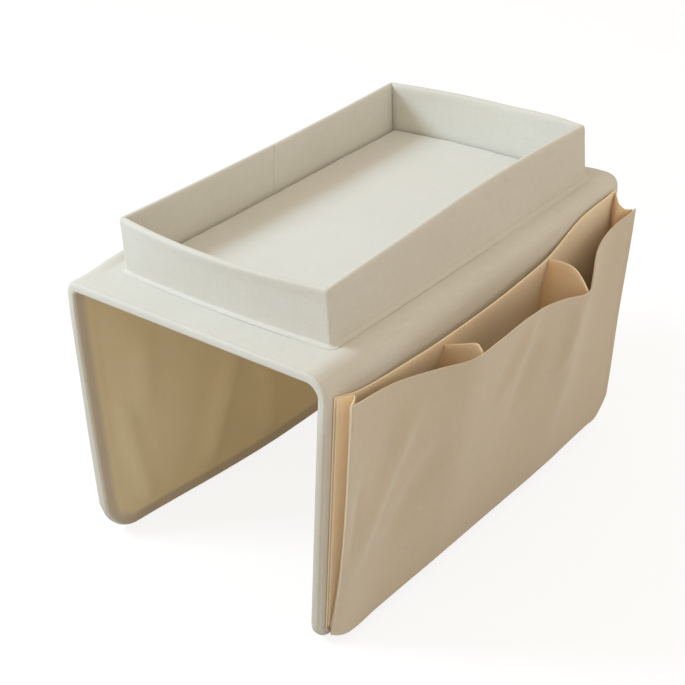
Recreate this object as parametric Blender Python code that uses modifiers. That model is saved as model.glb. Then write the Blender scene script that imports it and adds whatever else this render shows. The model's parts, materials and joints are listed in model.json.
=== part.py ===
"""Sofa armrest organizer: a cloth-covered saddle with a tray on top and a pleated pocket on its right side.

X runs across the sofa arm (+X is the pocket side), Y along it (-Y is the front) and Z up.
The origin is the middle of the underside of the top, which rests on the arm. Lengths are in metres.
"""

import math

import bmesh
import bpy

# Driving dimensions of the saddle
ARM_WIDTH = 0.194  # clear width between the side panels, at the underside of the top
BODY_LENGTH = 0.320  # along the sofa arm
SIDE_DROP = 0.190  # from the underside of the top down to the bottom edge of both side panels
CLOTH = 0.0008  # canvas, lining and pocket cloth
BOARD = 0.0038  # stiffening board in the top and the sides
GAP = 0.0003  # left between neighbouring layers
HEM_WIDTH = 0.012  # canvas turned over the edges of a panel onto its inner face
CORNER_RADIUS = 0.020  # bottom corners of the side panels
STACK_CLEARANCE = 0.0010  # between the two side panels when both are folded flat under the top
RIGHT_LEAN = math.radians(5.9)  # how far the right panel hangs inwards at rest

# Tray
TRAY_HEIGHT = 0.037
TRAY_FRONT_INSET = 0.0295  # from the front edge of the top to the tray
TRAY_REAR_INSET = 0.0165  # the same at the back
TRAY_SIDE_INSET = 0.0130  # from the inner faces of the side panels in to the tray
TRAY_BOARD = 0.0020
TRAY_CORNER_RADIUS = 0.0030
TRAY_END_BOW = 0.0050  # how far the short walls belly out in the middle
WELT_WIDTH = 0.0022  # seam allowance turned out round the foot of the tray
WELT_HEIGHT = 0.0011
INSERT_CLEARANCE = 0.0018  # round the loose tray floor
INSERT_CLOTH = 0.0005
INSERT_BOARD = 0.0014
INSERT_HEM = 0.010

# Pocket, on the outer face of the right panel
POCKET_FRONT_MARGIN = 0.0062  # bare panel in front of the pocket
POCKET_REAR_MARGIN = 0.0012
POCKET_FOOT_LIFT = 0.0045  # pocket's foot above the panel's bottom edge
POCKET_TOP_RISE = 0.0035  # front corner of the mouth above the fold line of the panel
MOUTH_DEPTH = 0.0350  # widest reach of the mouth from the panel
MOUTH_DIP = 0.0165  # deepest sag of the mouth's edge, at the rear divider
FOOT_DEPTH = 0.0115  # reach of the pocket's foot from the panel
FOOT_RADIUS = 0.0050  # rounding between foot and front sheet
POCKET_FRONT_CORNER = 0.0100  # radius of the pocket's lower front corner
POCKET_REAR_CORNER = 0.0190  # radius of its lower rear corner
BACK_EDGE_WAVE = 0.0105  # rise and fall of the back sheet's top edge
PLEAT_DEPTH = 0.0180  # how far the end gussets fold into the pocket

# Shares of the pocket's length, from its front end, each with a share of the value that is named
MOUTH_DEPTH_SHARES = (
    (0.00, 0.37), (0.12, 0.30), (0.19, 0.40), (0.24, 0.60), (0.30, 0.93), (0.36, 0.96), (0.44, 0.90),
    (0.52, 0.84), (0.60, 0.91), (0.69, 1.00), (0.74, 0.80), (0.81, 0.49), (0.88, 0.35), (1.00, 0.27),
)
MOUTH_DIP_SHARES = (
    (0.00, 0.00), (0.07, 0.27), (0.13, 0.45), (0.20, 0.57), (0.27, 0.48), (0.315, 0.30), (0.40, 0.32),
    (0.52, 0.46), (0.60, 0.67), (0.69, 1.00), (0.74, 0.76), (0.81, 0.57), (0.88, 0.39), (1.00, 0.32),
)
FOOT_DEPTH_SHARES = ((0.00, 0.32), (0.03, 0.80), (0.08, 1.05), (0.78, 1.00), (0.90, 0.75), (1.00, 0.55))
BACK_EDGE_SHARES = (
    (0.00, 0.00), (0.10, -0.60), (0.30, -1.00), (0.40, -0.72), (0.55, -0.62), (0.70, -0.65),
    (0.78, -0.20), (0.86, 0.45), (0.92, 0.84), (0.95, 0.55), (1.00, -0.50),
)
# How early the front sheet reaches its full depth on the way up: 1 is a straight slope
FULLNESS_SHARES = ((0.00, 3.6), (0.10, 2.2), (0.25, 1.3), (0.75, 1.3), (0.88, 2.6), (1.00, 7.0))
# Each divider: its place along the pocket, then points of its top edge as a share of the mouth's reach
# and a share of MOUTH_DIP below the pocket's top
FRONT_DIVIDER_SHARES = (0.315, ((0.00, 0.97), (0.45, 0.52), (0.83, 0.14)))
REAR_DIVIDER_SHARES = (0.69, ((0.00, 0.45), (0.45, 0.22), (0.70, 0.30), (0.90, 0.70)))

# How finely curves are divided
CORNER_STEPS = 6
FOLD_STEPS = 10
CUTTER_OVERTURN = math.radians(5)  # a fold's cutters turn this much past the fold's ends
BOW_STEPS = 12
SHEET_COLUMNS = 30
SHEET_ROWS = 10
GUSSET_ROWS = 8

# Sizes worked out from the driving dimensions
PANEL = 2 * CLOTH + 2 * GAP + BOARD  # full thickness of the top and of a side panel
BOARD_START = CLOTH + GAP  # board's near face above the inner face of its panel
HALF_LENGTH = BODY_LENGTH / 2
HALF_ARM = ARM_WIDTH / 2
TRAY_LENGTH = BODY_LENGTH - TRAY_FRONT_INSET - TRAY_REAR_INSET
TRAY_WIDTH = ARM_WIDTH - 2 * TRAY_SIDE_INSET
TRAY_WALL = 2 * CLOTH + 2 * GAP + TRAY_BOARD
TRAY_FOOT = PANEL + GAP
TRAY_CENTRE_Y = -HALF_LENGTH + TRAY_FRONT_INSET + TRAY_LENGTH / 2
INSERT_THICKNESS = 2 * INSERT_CLOTH + 2 * GAP + INSERT_BOARD
OVERRUN = PANEL  # how far a cutter runs past what it cuts

# Fold lines. The left panel folds tightly. The right one hangs lower, so that it can fold under the left one.
LEFT_FOLD_RADIUS = PANEL / 2
LEFT_AXIS_X = -(HALF_ARM + PANEL / 2)
LEFT_AXIS_Z = -(LEFT_FOLD_RADIUS + 2 * GAP)
RIGHT_AXIS_Z = LEFT_AXIS_Z - PANEL - STACK_CLEARANCE
RIGHT_FOLD_RADIUS = (-RIGHT_AXIS_Z - 2 * GAP * math.cos(RIGHT_LEAN) - PANEL / 2 * math.sin(RIGHT_LEAN)) / (
    1 + math.sin(RIGHT_LEAN)
)
RIGHT_FOLD_X = HALF_ARM - RIGHT_FOLD_RADIUS  # centre of the right fold's arc
RIGHT_AXIS_X = (
    RIGHT_FOLD_X
    + (RIGHT_FOLD_RADIUS + PANEL / 2) * math.cos(RIGHT_LEAN)
    - 2 * GAP * math.sin(RIGHT_LEAN)
)
LEFT_PANEL_LENGTH = SIDE_DROP + LEFT_AXIS_Z  # below the fold line
RIGHT_PANEL_LENGTH = (SIDE_DROP + RIGHT_AXIS_Z - PANEL / 2 * math.sin(RIGHT_LEAN)) / math.cos(RIGHT_LEAN)

# Pocket sizes in the right panel's own frame: x outwards from its middle, y along, z up from its fold line
OUTER_FACE = PANEL / 2
BACK_SHEET_X = OUTER_FACE + GAP + CLOTH / 2
SHEET_START_X = BACK_SHEET_X + CLOTH / 2 + GAP  # where the front sheet's foot meets the back sheet
POCKET_FOOT_Z = -RIGHT_PANEL_LENGTH + POCKET_FOOT_LIFT
POCKET_TOP_Z = POCKET_TOP_RISE
POCKET_HEIGHT = POCKET_TOP_Z - POCKET_FOOT_Z
POCKET_FRONT_Y = -HALF_LENGTH + POCKET_FRONT_MARGIN
POCKET_REAR_Y = HALF_LENGTH - POCKET_REAR_MARGIN


# Helpers


def start_clean():
    """Empties the file and returns the organizer's collection and the cutters' collection."""
    for old in list(bpy.data.objects):
        bpy.data.objects.remove(old, do_unlink=True)
    made = []
    for title in ("sofa_armrest_organizer", "cutters"):
        collection = bpy.data.collections.new(title)
        bpy.context.scene.collection.children.link(collection)
        made.append(collection)
    return made


def cloth_material(name, colour, roughness):
    """A plain Principled material for cloth or board."""
    material = bpy.data.materials.new(name)
    material.use_nodes = True
    shader = material.node_tree.nodes["Principled BSDF"]
    shader.inputs["Base Color"].default_value = (*colour, 1.0)
    shader.inputs["Roughness"].default_value = roughness
    shader.inputs["Metallic"].default_value = 0.0
    material.diffuse_color = (*colour, 1.0)
    return material


def link(name, mesh, collection, material=None, parent=None):
    """Makes an object of a mesh, flat shaded with its own material."""
    obj = bpy.data.objects.new(name, mesh)
    collection.objects.link(obj)
    if material:
        mesh.materials.append(material)
    obj.parent = parent
    return obj


TURNS = {  # which way a flat outline faces: its two axes become Y and Z, X and Z, or X and Y
    "X": (math.radians(90), 0.0, math.radians(90)),
    "Y": (math.radians(90), 0.0, 0.0),
    "Z": (0.0, 0.0, 0.0),
}


def slab(name, outline, thickness, place, facing, collection, material=None, parent=None):
    """A flat piece: a closed outline, extruded by its thickness about its middle plane and then placed."""
    curve = bpy.data.curves.new(name, "CURVE")
    curve.dimensions = "2D"
    curve.fill_mode = "BOTH"
    curve.extrude = thickness / 2
    spline = curve.splines.new("POLY")
    spline.points.add(len(outline) - 1)
    for point, (a, b) in zip(spline.points, outline):
        point.co = (a, b, 0.0, 1.0)
    spline.use_cyclic_u = True
    sketch = bpy.data.objects.new(name + "_sketch", curve)
    bpy.context.scene.collection.objects.link(sketch)
    bpy.context.view_layer.update()
    shaped = sketch.evaluated_get(bpy.context.evaluated_depsgraph_get())
    mesh = bpy.data.meshes.new_from_object(shaped)
    bpy.data.objects.remove(sketch, do_unlink=True)
    bm = bmesh.new()
    bm.from_mesh(mesh)
    bmesh.ops.remove_doubles(bm, verts=bm.verts, dist=GAP / 100)
    bmesh.ops.recalc_face_normals(bm, faces=bm.faces)
    bm.to_mesh(mesh)
    bm.free()
    mesh.name = name
    obj = link(name, mesh, collection, material, parent)
    obj.location = place
    obj.rotation_euler = TURNS[facing]
    return obj


def cut(piece, cutter):
    """Takes a cutter away from a piece."""
    cutter.hide_render = True
    cutter.display_type = "WIRE"
    boolean = piece.modifiers.new("cut_" + cutter.name, "BOOLEAN")
    boolean.operation = "DIFFERENCE"
    boolean.solver = "EXACT"
    boolean.object = cutter


def arc(centre, radius, start, end, steps):
    """Points on an arc from one angle to another, in radians."""
    return [
        (
            centre[0] + radius * math.cos(start + (end - start) * i / steps),
            centre[1] + radius * math.sin(start + (end - start) * i / steps),
        )
        for i in range(steps + 1)
    ]


def rectangle(left, right, low, high):
    """A rectangle's four corners, anticlockwise."""
    return [(left, low), (right, low), (right, high), (left, high)]


def hanging_outline(half_length, top, bottom, radius):
    """A side panel's outline: square at the top, round at both bottom corners."""
    points = [(half_length, top), (-half_length, top)]
    points += arc((-half_length + radius, bottom + radius), radius, math.pi, 1.5 * math.pi, CORNER_STEPS)
    points += arc((half_length - radius, bottom + radius), radius, 1.5 * math.pi, 2 * math.pi, CORNER_STEPS)
    return points


def follow(table, share):
    """Reads a table of (share, value) along a smooth curve through its points."""
    last = len(table) - 1
    at = next((i for i in range(last) if share <= table[i + 1][0]), last - 1)
    (x0, y0), (x1, y1) = table[at], table[at + 1]
    before, after = table[max(at - 1, 0)], table[min(at + 2, last)]
    slope0 = (y1 - before[1]) / (x1 - before[0])
    slope1 = (after[1] - y0) / (after[0] - x0)
    t = (share - x0) / (x1 - x0)
    width = x1 - x0
    return (
        (2 * t**3 - 3 * t**2 + 1) * y0
        + (t**3 - 2 * t**2 + t) * width * slope0
        + (3 * t**2 - 2 * t**3) * y1
        + (t**3 - t**2) * width * slope1
    )


def sheet(name, rows, thickness, collection, material, parent):
    """A cloth sheet: a grid laid through rows of points, given its thickness by Solidify."""
    across, along = len(rows), len(rows[0])
    bm = bmesh.new()
    bmesh.ops.create_grid(bm, x_segments=along - 1, y_segments=across - 1, size=1.0)
    bm.verts.ensure_lookup_table()
    for i, vertex in enumerate(sorted(bm.verts, key=lambda v: (round(v.co.y, 5), round(v.co.x, 5)))):
        vertex.co = rows[i // along][i % along]
    mesh = bpy.data.meshes.new(name)
    bm.to_mesh(mesh)
    bm.free()
    obj = link(name, mesh, collection, material, parent)
    solidify = obj.modifiers.new("thickness", "SOLIDIFY")
    solidify.thickness = thickness
    solidify.offset = 0.0
    mesh.shade_smooth()
    return obj


# The saddle


def covered_panel(side, sign, length, radius_bottom, parent, collections, materials):
    """A side panel in its fold line's frame: board, lining, and a canvas cover turned over the edges."""
    organizer, cutters = collections
    top = GAP
    bottom = -length
    inner = -sign * PANEL / 2  # the inner face's place across the panel

    def across(low, high):
        """Middle of a layer that lies between two depths below the inner face."""
        return (inner + sign * (low + high) / 2, 0.0, 0.0)

    board_edge = CLOTH + GAP
    slab(
        side + "_board",
        hanging_outline(
            HALF_LENGTH - board_edge, top, bottom + board_edge, radius_bottom - board_edge
        ),
        BOARD,
        across(BOARD_START, BOARD_START + BOARD),
        "X",
        organizer,
        materials["board"],
        parent,
    )
    lining_edge = HEM_WIDTH + GAP
    slab(
        side + "_lining",
        hanging_outline(HALF_LENGTH - lining_edge, top, bottom + lining_edge, radius_bottom - lining_edge),
        CLOTH,
        across(0, CLOTH),
        "X",
        organizer,
        materials["lining"],
        parent,
    )
    cover = slab(
        side + "_cover",
        hanging_outline(HALF_LENGTH, top, bottom, radius_bottom),
        PANEL,
        across(0, PANEL),
        "X",
        organizer,
        materials["canvas"],
        parent,
    )
    hollow = slab(
        side + "_cover_hollow",
        hanging_outline(HALF_LENGTH - CLOTH, top + OVERRUN, bottom + CLOTH, radius_bottom - CLOTH),
        PANEL - 2 * CLOTH,
        across(CLOTH, PANEL - CLOTH),
        "X",
        cutters,
        None,
        parent,
    )
    window = slab(
        side + "_cover_window",
        hanging_outline(
            HALF_LENGTH - HEM_WIDTH, top + OVERRUN, bottom + HEM_WIDTH, radius_bottom - HEM_WIDTH
        ),
        OVERRUN,
        across(PANEL / 2 - OVERRUN, PANEL / 2),
        "X",
        cutters,
        None,
        parent,
    )
    cut(cover, hollow)
    cut(cover, window)


def top_panel(collections, materials):
    """The flat top: lining below, board, and canvas above, turned under at the front and back."""
    organizer, cutters = collections
    left = -(HALF_ARM - LEFT_FOLD_RADIUS) + GAP
    right = RIGHT_FOLD_X - GAP
    board_reach = HALF_LENGTH - CLOTH - GAP
    slab(
        "top_board",
        rectangle(left, right, -board_reach, board_reach),
        BOARD,
        (0, 0, BOARD_START + BOARD / 2),
        "Z",
        organizer,
        materials["board"],
    )
    lining_reach = HALF_LENGTH - HEM_WIDTH - GAP
    slab(
        "top_lining",
        rectangle(left, right, -lining_reach, lining_reach),
        CLOTH,
        (0, 0, CLOTH / 2),
        "Z",
        organizer,
        materials["lining"],
    )
    cover = slab(
        "top_cover",
        rectangle(left, right, -HALF_LENGTH, HALF_LENGTH),
        PANEL,
        (0, 0, PANEL / 2),
        "Z",
        organizer,
        materials["canvas"],
    )
    hollow_reach = HALF_LENGTH - CLOTH
    hollow = slab(
        "top_cover_hollow",
        rectangle(left - OVERRUN, right + OVERRUN, -hollow_reach, hollow_reach),
        PANEL - 2 * CLOTH,
        (0, 0, PANEL / 2),
        "Z",
        cutters,
    )
    window_reach = HALF_LENGTH - HEM_WIDTH
    window = slab(
        "top_cover_window",
        rectangle(left - OVERRUN, right + OVERRUN, -window_reach, window_reach),
        OVERRUN,
        (0, 0, PANEL / 2 - OVERRUN / 2),
        "Z",
        cutters,
    )
    cut(cover, hollow)
    cut(cover, window)


def ring_sector(centre, inner, outer, start, end):
    """Outline of part of a ring between two angles."""
    return arc(centre, outer, start, end, FOLD_STEPS) + arc(centre, inner, end, start, FOLD_STEPS)


def fold(side, centre, radius, start, end, collections, materials):
    """The cloth hinge between the top and a side panel: canvas outside, lining inside and no board between."""
    organizer, cutters = collections
    low, high = min(start, end), max(start, end)
    past_low, past_high = low - CUTTER_OVERTURN, high + CUTTER_OVERTURN
    cover = slab(
        side + "_fold_canvas",
        ring_sector(centre, radius, radius + PANEL, low, high),
        BODY_LENGTH,
        (0, 0, 0),
        "Y",
        organizer,
        materials["canvas"],
    )
    hollow = slab(
        side + "_fold_hollow",
        ring_sector(centre, radius + CLOTH, radius + PANEL - CLOTH, past_low, past_high),
        BODY_LENGTH - 2 * CLOTH,
        (0, 0, 0),
        "Y",
        cutters,
    )
    window = slab(
        side + "_fold_window",
        ring_sector(centre, radius / 2, radius + PANEL / 2, past_low, past_high),
        BODY_LENGTH - 2 * HEM_WIDTH,
        (0, 0, 0),
        "Y",
        cutters,
    )
    cut(cover, hollow)
    cut(cover, window)
    slab(
        side + "_fold_lining",
        ring_sector(centre, radius, radius + CLOTH, low, high),
        BODY_LENGTH - 2 * (HEM_WIDTH + GAP),
        (0, 0, 0),
        "Y",
        organizer,
        materials["lining"],
    )


# The tray


def tray_outline(inset, end_bow=TRAY_END_BOW):
    """The tray's plan, a set distance inside its outer face: long sides straight, ends bellied out."""
    half_width = TRAY_WIDTH / 2 - inset
    half_length = TRAY_LENGTH / 2 - inset
    radius = max(TRAY_CORNER_RADIUS - inset, GAP)
    span = half_width - radius
    points = []
    for sign in (-1, 1):
        for i in range(1, BOW_STEPS):
            share = 2 * i / BOW_STEPS - 1
            points.append((-sign * share * span, sign * (half_length + end_bow * (1 - share**2))))
        turn = 0 if sign == -1 else math.pi
        first = (sign * -span, sign * (half_length - radius))
        points += arc(first, radius, turn - math.pi / 2, turn, CORNER_STEPS)
        second = (sign * -span, -sign * (half_length - radius))
        points += arc(second, radius, turn, turn + math.pi / 2, CORNER_STEPS)
    return points


def end_board_outline(sign, outer, inner, half_span):
    """A bellied board for one end wall, between two insets from the tray's outer face."""
    points = []
    for inset, order in ((outer, 1), (inner, -1)):
        half_length = TRAY_LENGTH / 2 - inset
        span = TRAY_WIDTH / 2 - max(inset, TRAY_CORNER_RADIUS)
        edge = []
        for i in range(BOW_STEPS + 1):
            x = half_span * (2 * i / BOW_STEPS - 1)
            edge.append((x, sign * (half_length + TRAY_END_BOW * (1 - (x / span) ** 2))))
        points += edge[::order]
    return points


def tray(collections, materials):
    """Four boards in one canvas wall cover, which folds over the rim, and a welt round the foot."""
    organizer, cutters = collections
    middle = (0, TRAY_CENTRE_Y, TRAY_FOOT + TRAY_HEIGHT / 2)
    cover = slab(
        "tray_wall_cover", tray_outline(0), TRAY_HEIGHT, middle, "Z", organizer, materials["canvas"]
    )
    inside = slab(
        "tray_inside", tray_outline(TRAY_WALL), TRAY_HEIGHT + 2 * OVERRUN, middle, "Z", cutters
    )
    slot_height = TRAY_HEIGHT - CLOTH + OVERRUN
    slot_middle = (0, TRAY_CENTRE_Y, TRAY_FOOT + TRAY_HEIGHT - CLOTH - slot_height / 2)
    slot = slab("tray_wall_slot", tray_outline(CLOTH), slot_height, slot_middle, "Z", cutters)
    core = slab(
        "tray_wall_core", tray_outline(TRAY_WALL - CLOTH), slot_height + 2 * OVERRUN, slot_middle, "Z", cutters
    )
    cut(slot, core)
    cut(cover, inside)
    cut(cover, slot)

    board_height = TRAY_HEIGHT - CLOTH - GAP
    board_z = TRAY_FOOT + board_height / 2
    outer, inner = CLOTH + GAP, CLOTH + GAP + TRAY_BOARD
    side_reach = TRAY_LENGTH / 2 - TRAY_WALL - GAP
    for name, sign in (("tray_left_board", -1), ("tray_right_board", 1)):
        near, far = sorted((sign * (TRAY_WIDTH / 2 - outer), sign * (TRAY_WIDTH / 2 - inner)))
        slab(
            name,
            rectangle(near, far, -side_reach, side_reach),
            board_height,
            (0, TRAY_CENTRE_Y, board_z),
            "Z",
            organizer,
            materials["board"],
        )
    end_span = TRAY_WIDTH / 2 - TRAY_WALL
    for name, sign in (("tray_front_board", -1), ("tray_rear_board", 1)):
        slab(
            name,
            end_board_outline(sign, outer, inner, end_span),
            board_height,
            (0, TRAY_CENTRE_Y, board_z),
            "Z",
            organizer,
            materials["board"],
        )

    welt_middle = (0, TRAY_CENTRE_Y, TRAY_FOOT + WELT_HEIGHT / 2)
    welt = slab(
        "tray_foot_welt",
        tray_outline(-GAP - WELT_WIDTH),
        WELT_HEIGHT,
        welt_middle,
        "Z",
        organizer,
        materials["canvas"],
    )
    welt_inside = slab(
        "tray_foot_welt_inside", tray_outline(-GAP), WELT_HEIGHT + 2 * OVERRUN, welt_middle, "Z", cutters
    )
    cut(welt, welt_inside)


def tray_insert(collections, materials):
    """The loose tray floor: a thin board in a canvas cover that is turned under its edges."""
    organizer, cutters = collections
    edge = TRAY_WALL + INSERT_CLEARANCE
    middle_z = TRAY_FOOT + INSERT_THICKNESS / 2
    place = (0, TRAY_CENTRE_Y, middle_z)
    slab(
        "insert_board",
        tray_outline(edge + INSERT_CLOTH + GAP),
        INSERT_BOARD,
        place,
        "Z",
        organizer,
        materials["board"],
    )
    cover = slab(
        "insert_cover", tray_outline(edge), INSERT_THICKNESS, place, "Z", organizer, materials["insert"]
    )
    hollow = slab(
        "insert_hollow",
        tray_outline(edge + INSERT_CLOTH),
        INSERT_THICKNESS - 2 * INSERT_CLOTH,
        place,
        "Z",
        cutters,
    )
    window = slab(
        "insert_window",
        tray_outline(edge + INSERT_HEM),
        INSERT_THICKNESS,
        (0, TRAY_CENTRE_Y, middle_z - INSERT_THICKNESS / 2),
        "Z",
        cutters,
    )
    cut(cover, hollow)
    cut(cover, window)


# The pocket, in the right panel's frame


def rounded_in(height, radius):
    """How far a rounded lower corner draws an upright edge in, at a height above the foot."""
    below = max(radius - height, 0.0)
    return radius - math.sqrt(radius**2 - below**2)


def pocket_y(share, height):
    """Place along the panel at a share of the pocket's length."""
    front = POCKET_FRONT_Y + rounded_in(height, POCKET_FRONT_CORNER)
    rear = POCKET_REAR_Y - rounded_in(height, POCKET_REAR_CORNER)
    return front + (rear - front) * share


def sheet_height(share):
    """Height of the front sheet's edge above the pocket's foot."""
    return POCKET_HEIGHT - MOUTH_DIP * follow(MOUTH_DIP_SHARES, share)


def mouth_reach(share):
    """Distance of the mouth's edge from the panel's outer face."""
    return MOUTH_DEPTH * follow(MOUTH_DEPTH_SHARES, share)


def foot_reach(share):
    """Distance of the foot's outer edge from the panel's outer face."""
    return FOOT_DEPTH * follow(FOOT_DEPTH_SHARES, share)


def sheet_reach(share, height):
    """Distance of the front sheet's middle from the panel's outer face, above the rounded foot."""
    left_over = 1 - min(height / sheet_height(share), 1.0)
    full = 1 - left_over ** follow(FULLNESS_SHARES, share)
    return foot_reach(share) + (mouth_reach(share) - foot_reach(share)) * full


def sheet_section(share):
    """The front sheet's section at a share of its length: out along the foot, round and up to the mouth."""
    start = SHEET_START_X - OUTER_FACE
    foot = foot_reach(share)
    radius = min(FOOT_RADIUS, foot - start - GAP)
    points = [(start, 0.0)]
    for x, z in arc((foot - radius, radius), radius, -math.pi / 2, 0, CORNER_STEPS):
        points.append((x + sheet_reach(share, z) - foot, z))
    top = sheet_height(share)
    for i in range(1, SHEET_ROWS + 1):
        z = radius + (top - radius) * i / SHEET_ROWS
        points.append((sheet_reach(share, z), z))
    return points


def pocket_front_sheet(organizer, materials, parent):
    """The front sheet with its foot, measured from the line where it meets the back sheet."""
    columns = []
    for i in range(SHEET_COLUMNS + 1):
        share = i / SHEET_COLUMNS
        columns.append(
            [
                (OUTER_FACE + reach - SHEET_START_X, pocket_y(share, height), height)
                for reach, height in sheet_section(share)
            ]
        )
    rows = [[column[j] for column in columns] for j in range(len(columns[0]))]
    return sheet("pocket_front_sheet", rows, CLOTH, organizer, materials["pocket"], parent)


def back_edge_z(share):
    """Top edge of the back sheet: it sags between the dividers and stands up at the rear end."""
    return POCKET_TOP_Z + BACK_EDGE_WAVE * follow(BACK_EDGE_SHARES, share)


def pocket_back_sheet(organizer, materials, parent):
    """The sheet against the panel, with the pocket's two rounded lower corners."""
    top_edge = []
    for i in range(SHEET_COLUMNS + 1):
        share = i / SHEET_COLUMNS
        top_edge.append((pocket_y(share, POCKET_HEIGHT), back_edge_z(share)))
    front, rear = POCKET_FRONT_CORNER, POCKET_REAR_CORNER
    front_centre = (POCKET_FRONT_Y + front, POCKET_FOOT_Z + front)
    rear_centre = (POCKET_REAR_Y - rear, POCKET_FOOT_Z + rear)
    outline = arc(front_centre, front, math.pi, 1.5 * math.pi, CORNER_STEPS)
    outline += arc(rear_centre, rear, 1.5 * math.pi, 2 * math.pi, CORNER_STEPS)
    outline += top_edge[::-1]
    slab("pocket_back_sheet", outline, CLOTH, (BACK_SHEET_X, 0, 0), "X", organizer, materials["pocket"], parent)


def pocket_gusset(name, share, inwards, organizer, materials, parent):
    """A pleated end of the pocket: two leaves that meet in a fold pointing into the pocket."""
    low = FOOT_RADIUS + 2 * CLOTH
    far_high = sheet_height(share) - CLOTH
    near_high = back_edge_z(share) - CLOTH - POCKET_FOOT_Z
    near = BACK_SHEET_X + CLOTH + GAP
    rows = []
    for i in range(GUSSET_ROWS + 1):
        step = i / GUSSET_ROWS
        near_z = low + (near_high - low) * step
        far_z = low + (far_high - low) * step
        far = OUTER_FACE + sheet_reach(share, far_z) - CLOTH - 1.5 * GAP
        rows.append(
            [
                (near, pocket_y(share, near_z) + inwards * CLOTH, POCKET_FOOT_Z + near_z),
                (
                    (near + far) / 2,
                    pocket_y(share, far_z) + inwards * (CLOTH + PLEAT_DEPTH),
                    POCKET_FOOT_Z + (near_z + far_z) / 2,
                ),
                (far, pocket_y(share, far_z) + inwards * CLOTH, POCKET_FOOT_Z + far_z),
            ]
        )
    sheet(name, rows, CLOTH, organizer, materials["pocket"], parent)


def pocket_divider(name, shares, organizer, materials, parent):
    """A divider: a flat sheet square to the panel, from the back sheet to the front sheet."""
    share, top_points = shares
    low = CLOTH + 2 * GAP
    near = BACK_SHEET_X + CLOTH / 2 + GAP
    clear = CLOTH + GAP
    outline = [(near, POCKET_FOOT_Z + low)]
    for reach, height in sheet_section(share)[2:]:
        outline.append((OUTER_FACE + reach - clear, POCKET_FOOT_Z + max(height, low)))
    outer = outline[-1][0]
    for reach_share, drop_share in top_points[::-1]:
        outline.append((near + (outer - near) * reach_share, POCKET_TOP_Z - MOUTH_DIP * drop_share))
    y = pocket_y(share, POCKET_HEIGHT)
    slab(name, outline, CLOTH, (0, y, 0), "Y", organizer, materials["pocket"], parent)


def pocket(panel_frame, collections, materials):
    """Back sheet, two pleated ends, two dividers, and a front sheet that swings out from the foot."""
    organizer = collections[0]
    pocket_back_sheet(organizer, materials, panel_frame)
    pocket_gusset("pocket_front_gusset", 0.0, 1, organizer, materials, panel_frame)
    pocket_gusset("pocket_rear_gusset", 1.0, -1, organizer, materials, panel_frame)
    pocket_divider("pocket_front_divider", FRONT_DIVIDER_SHARES, organizer, materials, panel_frame)
    pocket_divider("pocket_rear_divider", REAR_DIVIDER_SHARES, organizer, materials, panel_frame)
    mouth = bpy.data.objects.new("pocket_mouth_axis", None)
    organizer.objects.link(mouth)
    mouth.parent = panel_frame
    mouth.location = (SHEET_START_X, 0, POCKET_FOOT_Z)
    pocket_front_sheet(organizer, materials, mouth)


def fold_frame(name, x, z, lean, organizer):
    """An empty on a fold line, which carries everything that turns about it."""
    frame = bpy.data.objects.new(name, None)
    organizer.objects.link(frame)
    frame.location = (x, 0, z)
    frame.rotation_euler = (0, lean, 0)
    return frame


def main():
    collections = start_clean()
    organizer = collections[0]
    materials = {
        "canvas": cloth_material("ivory_canvas", (0.74, 0.71, 0.63), 0.92),
        "insert": cloth_material("ivory_insert_canvas", (0.76, 0.74, 0.68), 0.92),
        "lining": cloth_material("tan_lining", (0.56, 0.45, 0.31), 0.95),
        "pocket": cloth_material("apricot_pocket_cloth", (0.66, 0.53, 0.38), 0.90),
        "board": cloth_material("grey_board", (0.42, 0.38, 0.32), 0.95),
    }
    top_panel(collections, materials)
    left_centre = (-(HALF_ARM - LEFT_FOLD_RADIUS), -LEFT_FOLD_RADIUS)
    fold("left", left_centre, LEFT_FOLD_RADIUS, math.pi / 2, math.pi, collections, materials)
    right_centre = (RIGHT_FOLD_X, -RIGHT_FOLD_RADIUS)
    fold("right", right_centre, RIGHT_FOLD_RADIUS, math.pi / 2, -RIGHT_LEAN, collections, materials)

    left_frame = fold_frame("left_fold_axis", LEFT_AXIS_X, LEFT_AXIS_Z, 0.0, organizer)
    right_frame = fold_frame("right_fold_axis", RIGHT_AXIS_X, RIGHT_AXIS_Z, RIGHT_LEAN, organizer)
    covered_panel("left", -1, LEFT_PANEL_LENGTH, CORNER_RADIUS, left_frame, collections, materials)
    covered_panel("right", 1, RIGHT_PANEL_LENGTH, CORNER_RADIUS, right_frame, collections, materials)

    tray(collections, materials)
    tray_insert(collections, materials)
    pocket(right_frame, collections, materials)
    bpy.context.view_layer.update()


main()
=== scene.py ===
"""Looks of a sofa armrest organizer: canvas over boards, a tan lining and a pleated apricot pocket.

Lengths are in metres in the frame's own axes: +X is the pocket side, -Y the front and +Z up. Most pieces are
cloth: a grid of points worked out by a formula, then given its thickness.
"""

import json
import math

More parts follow.
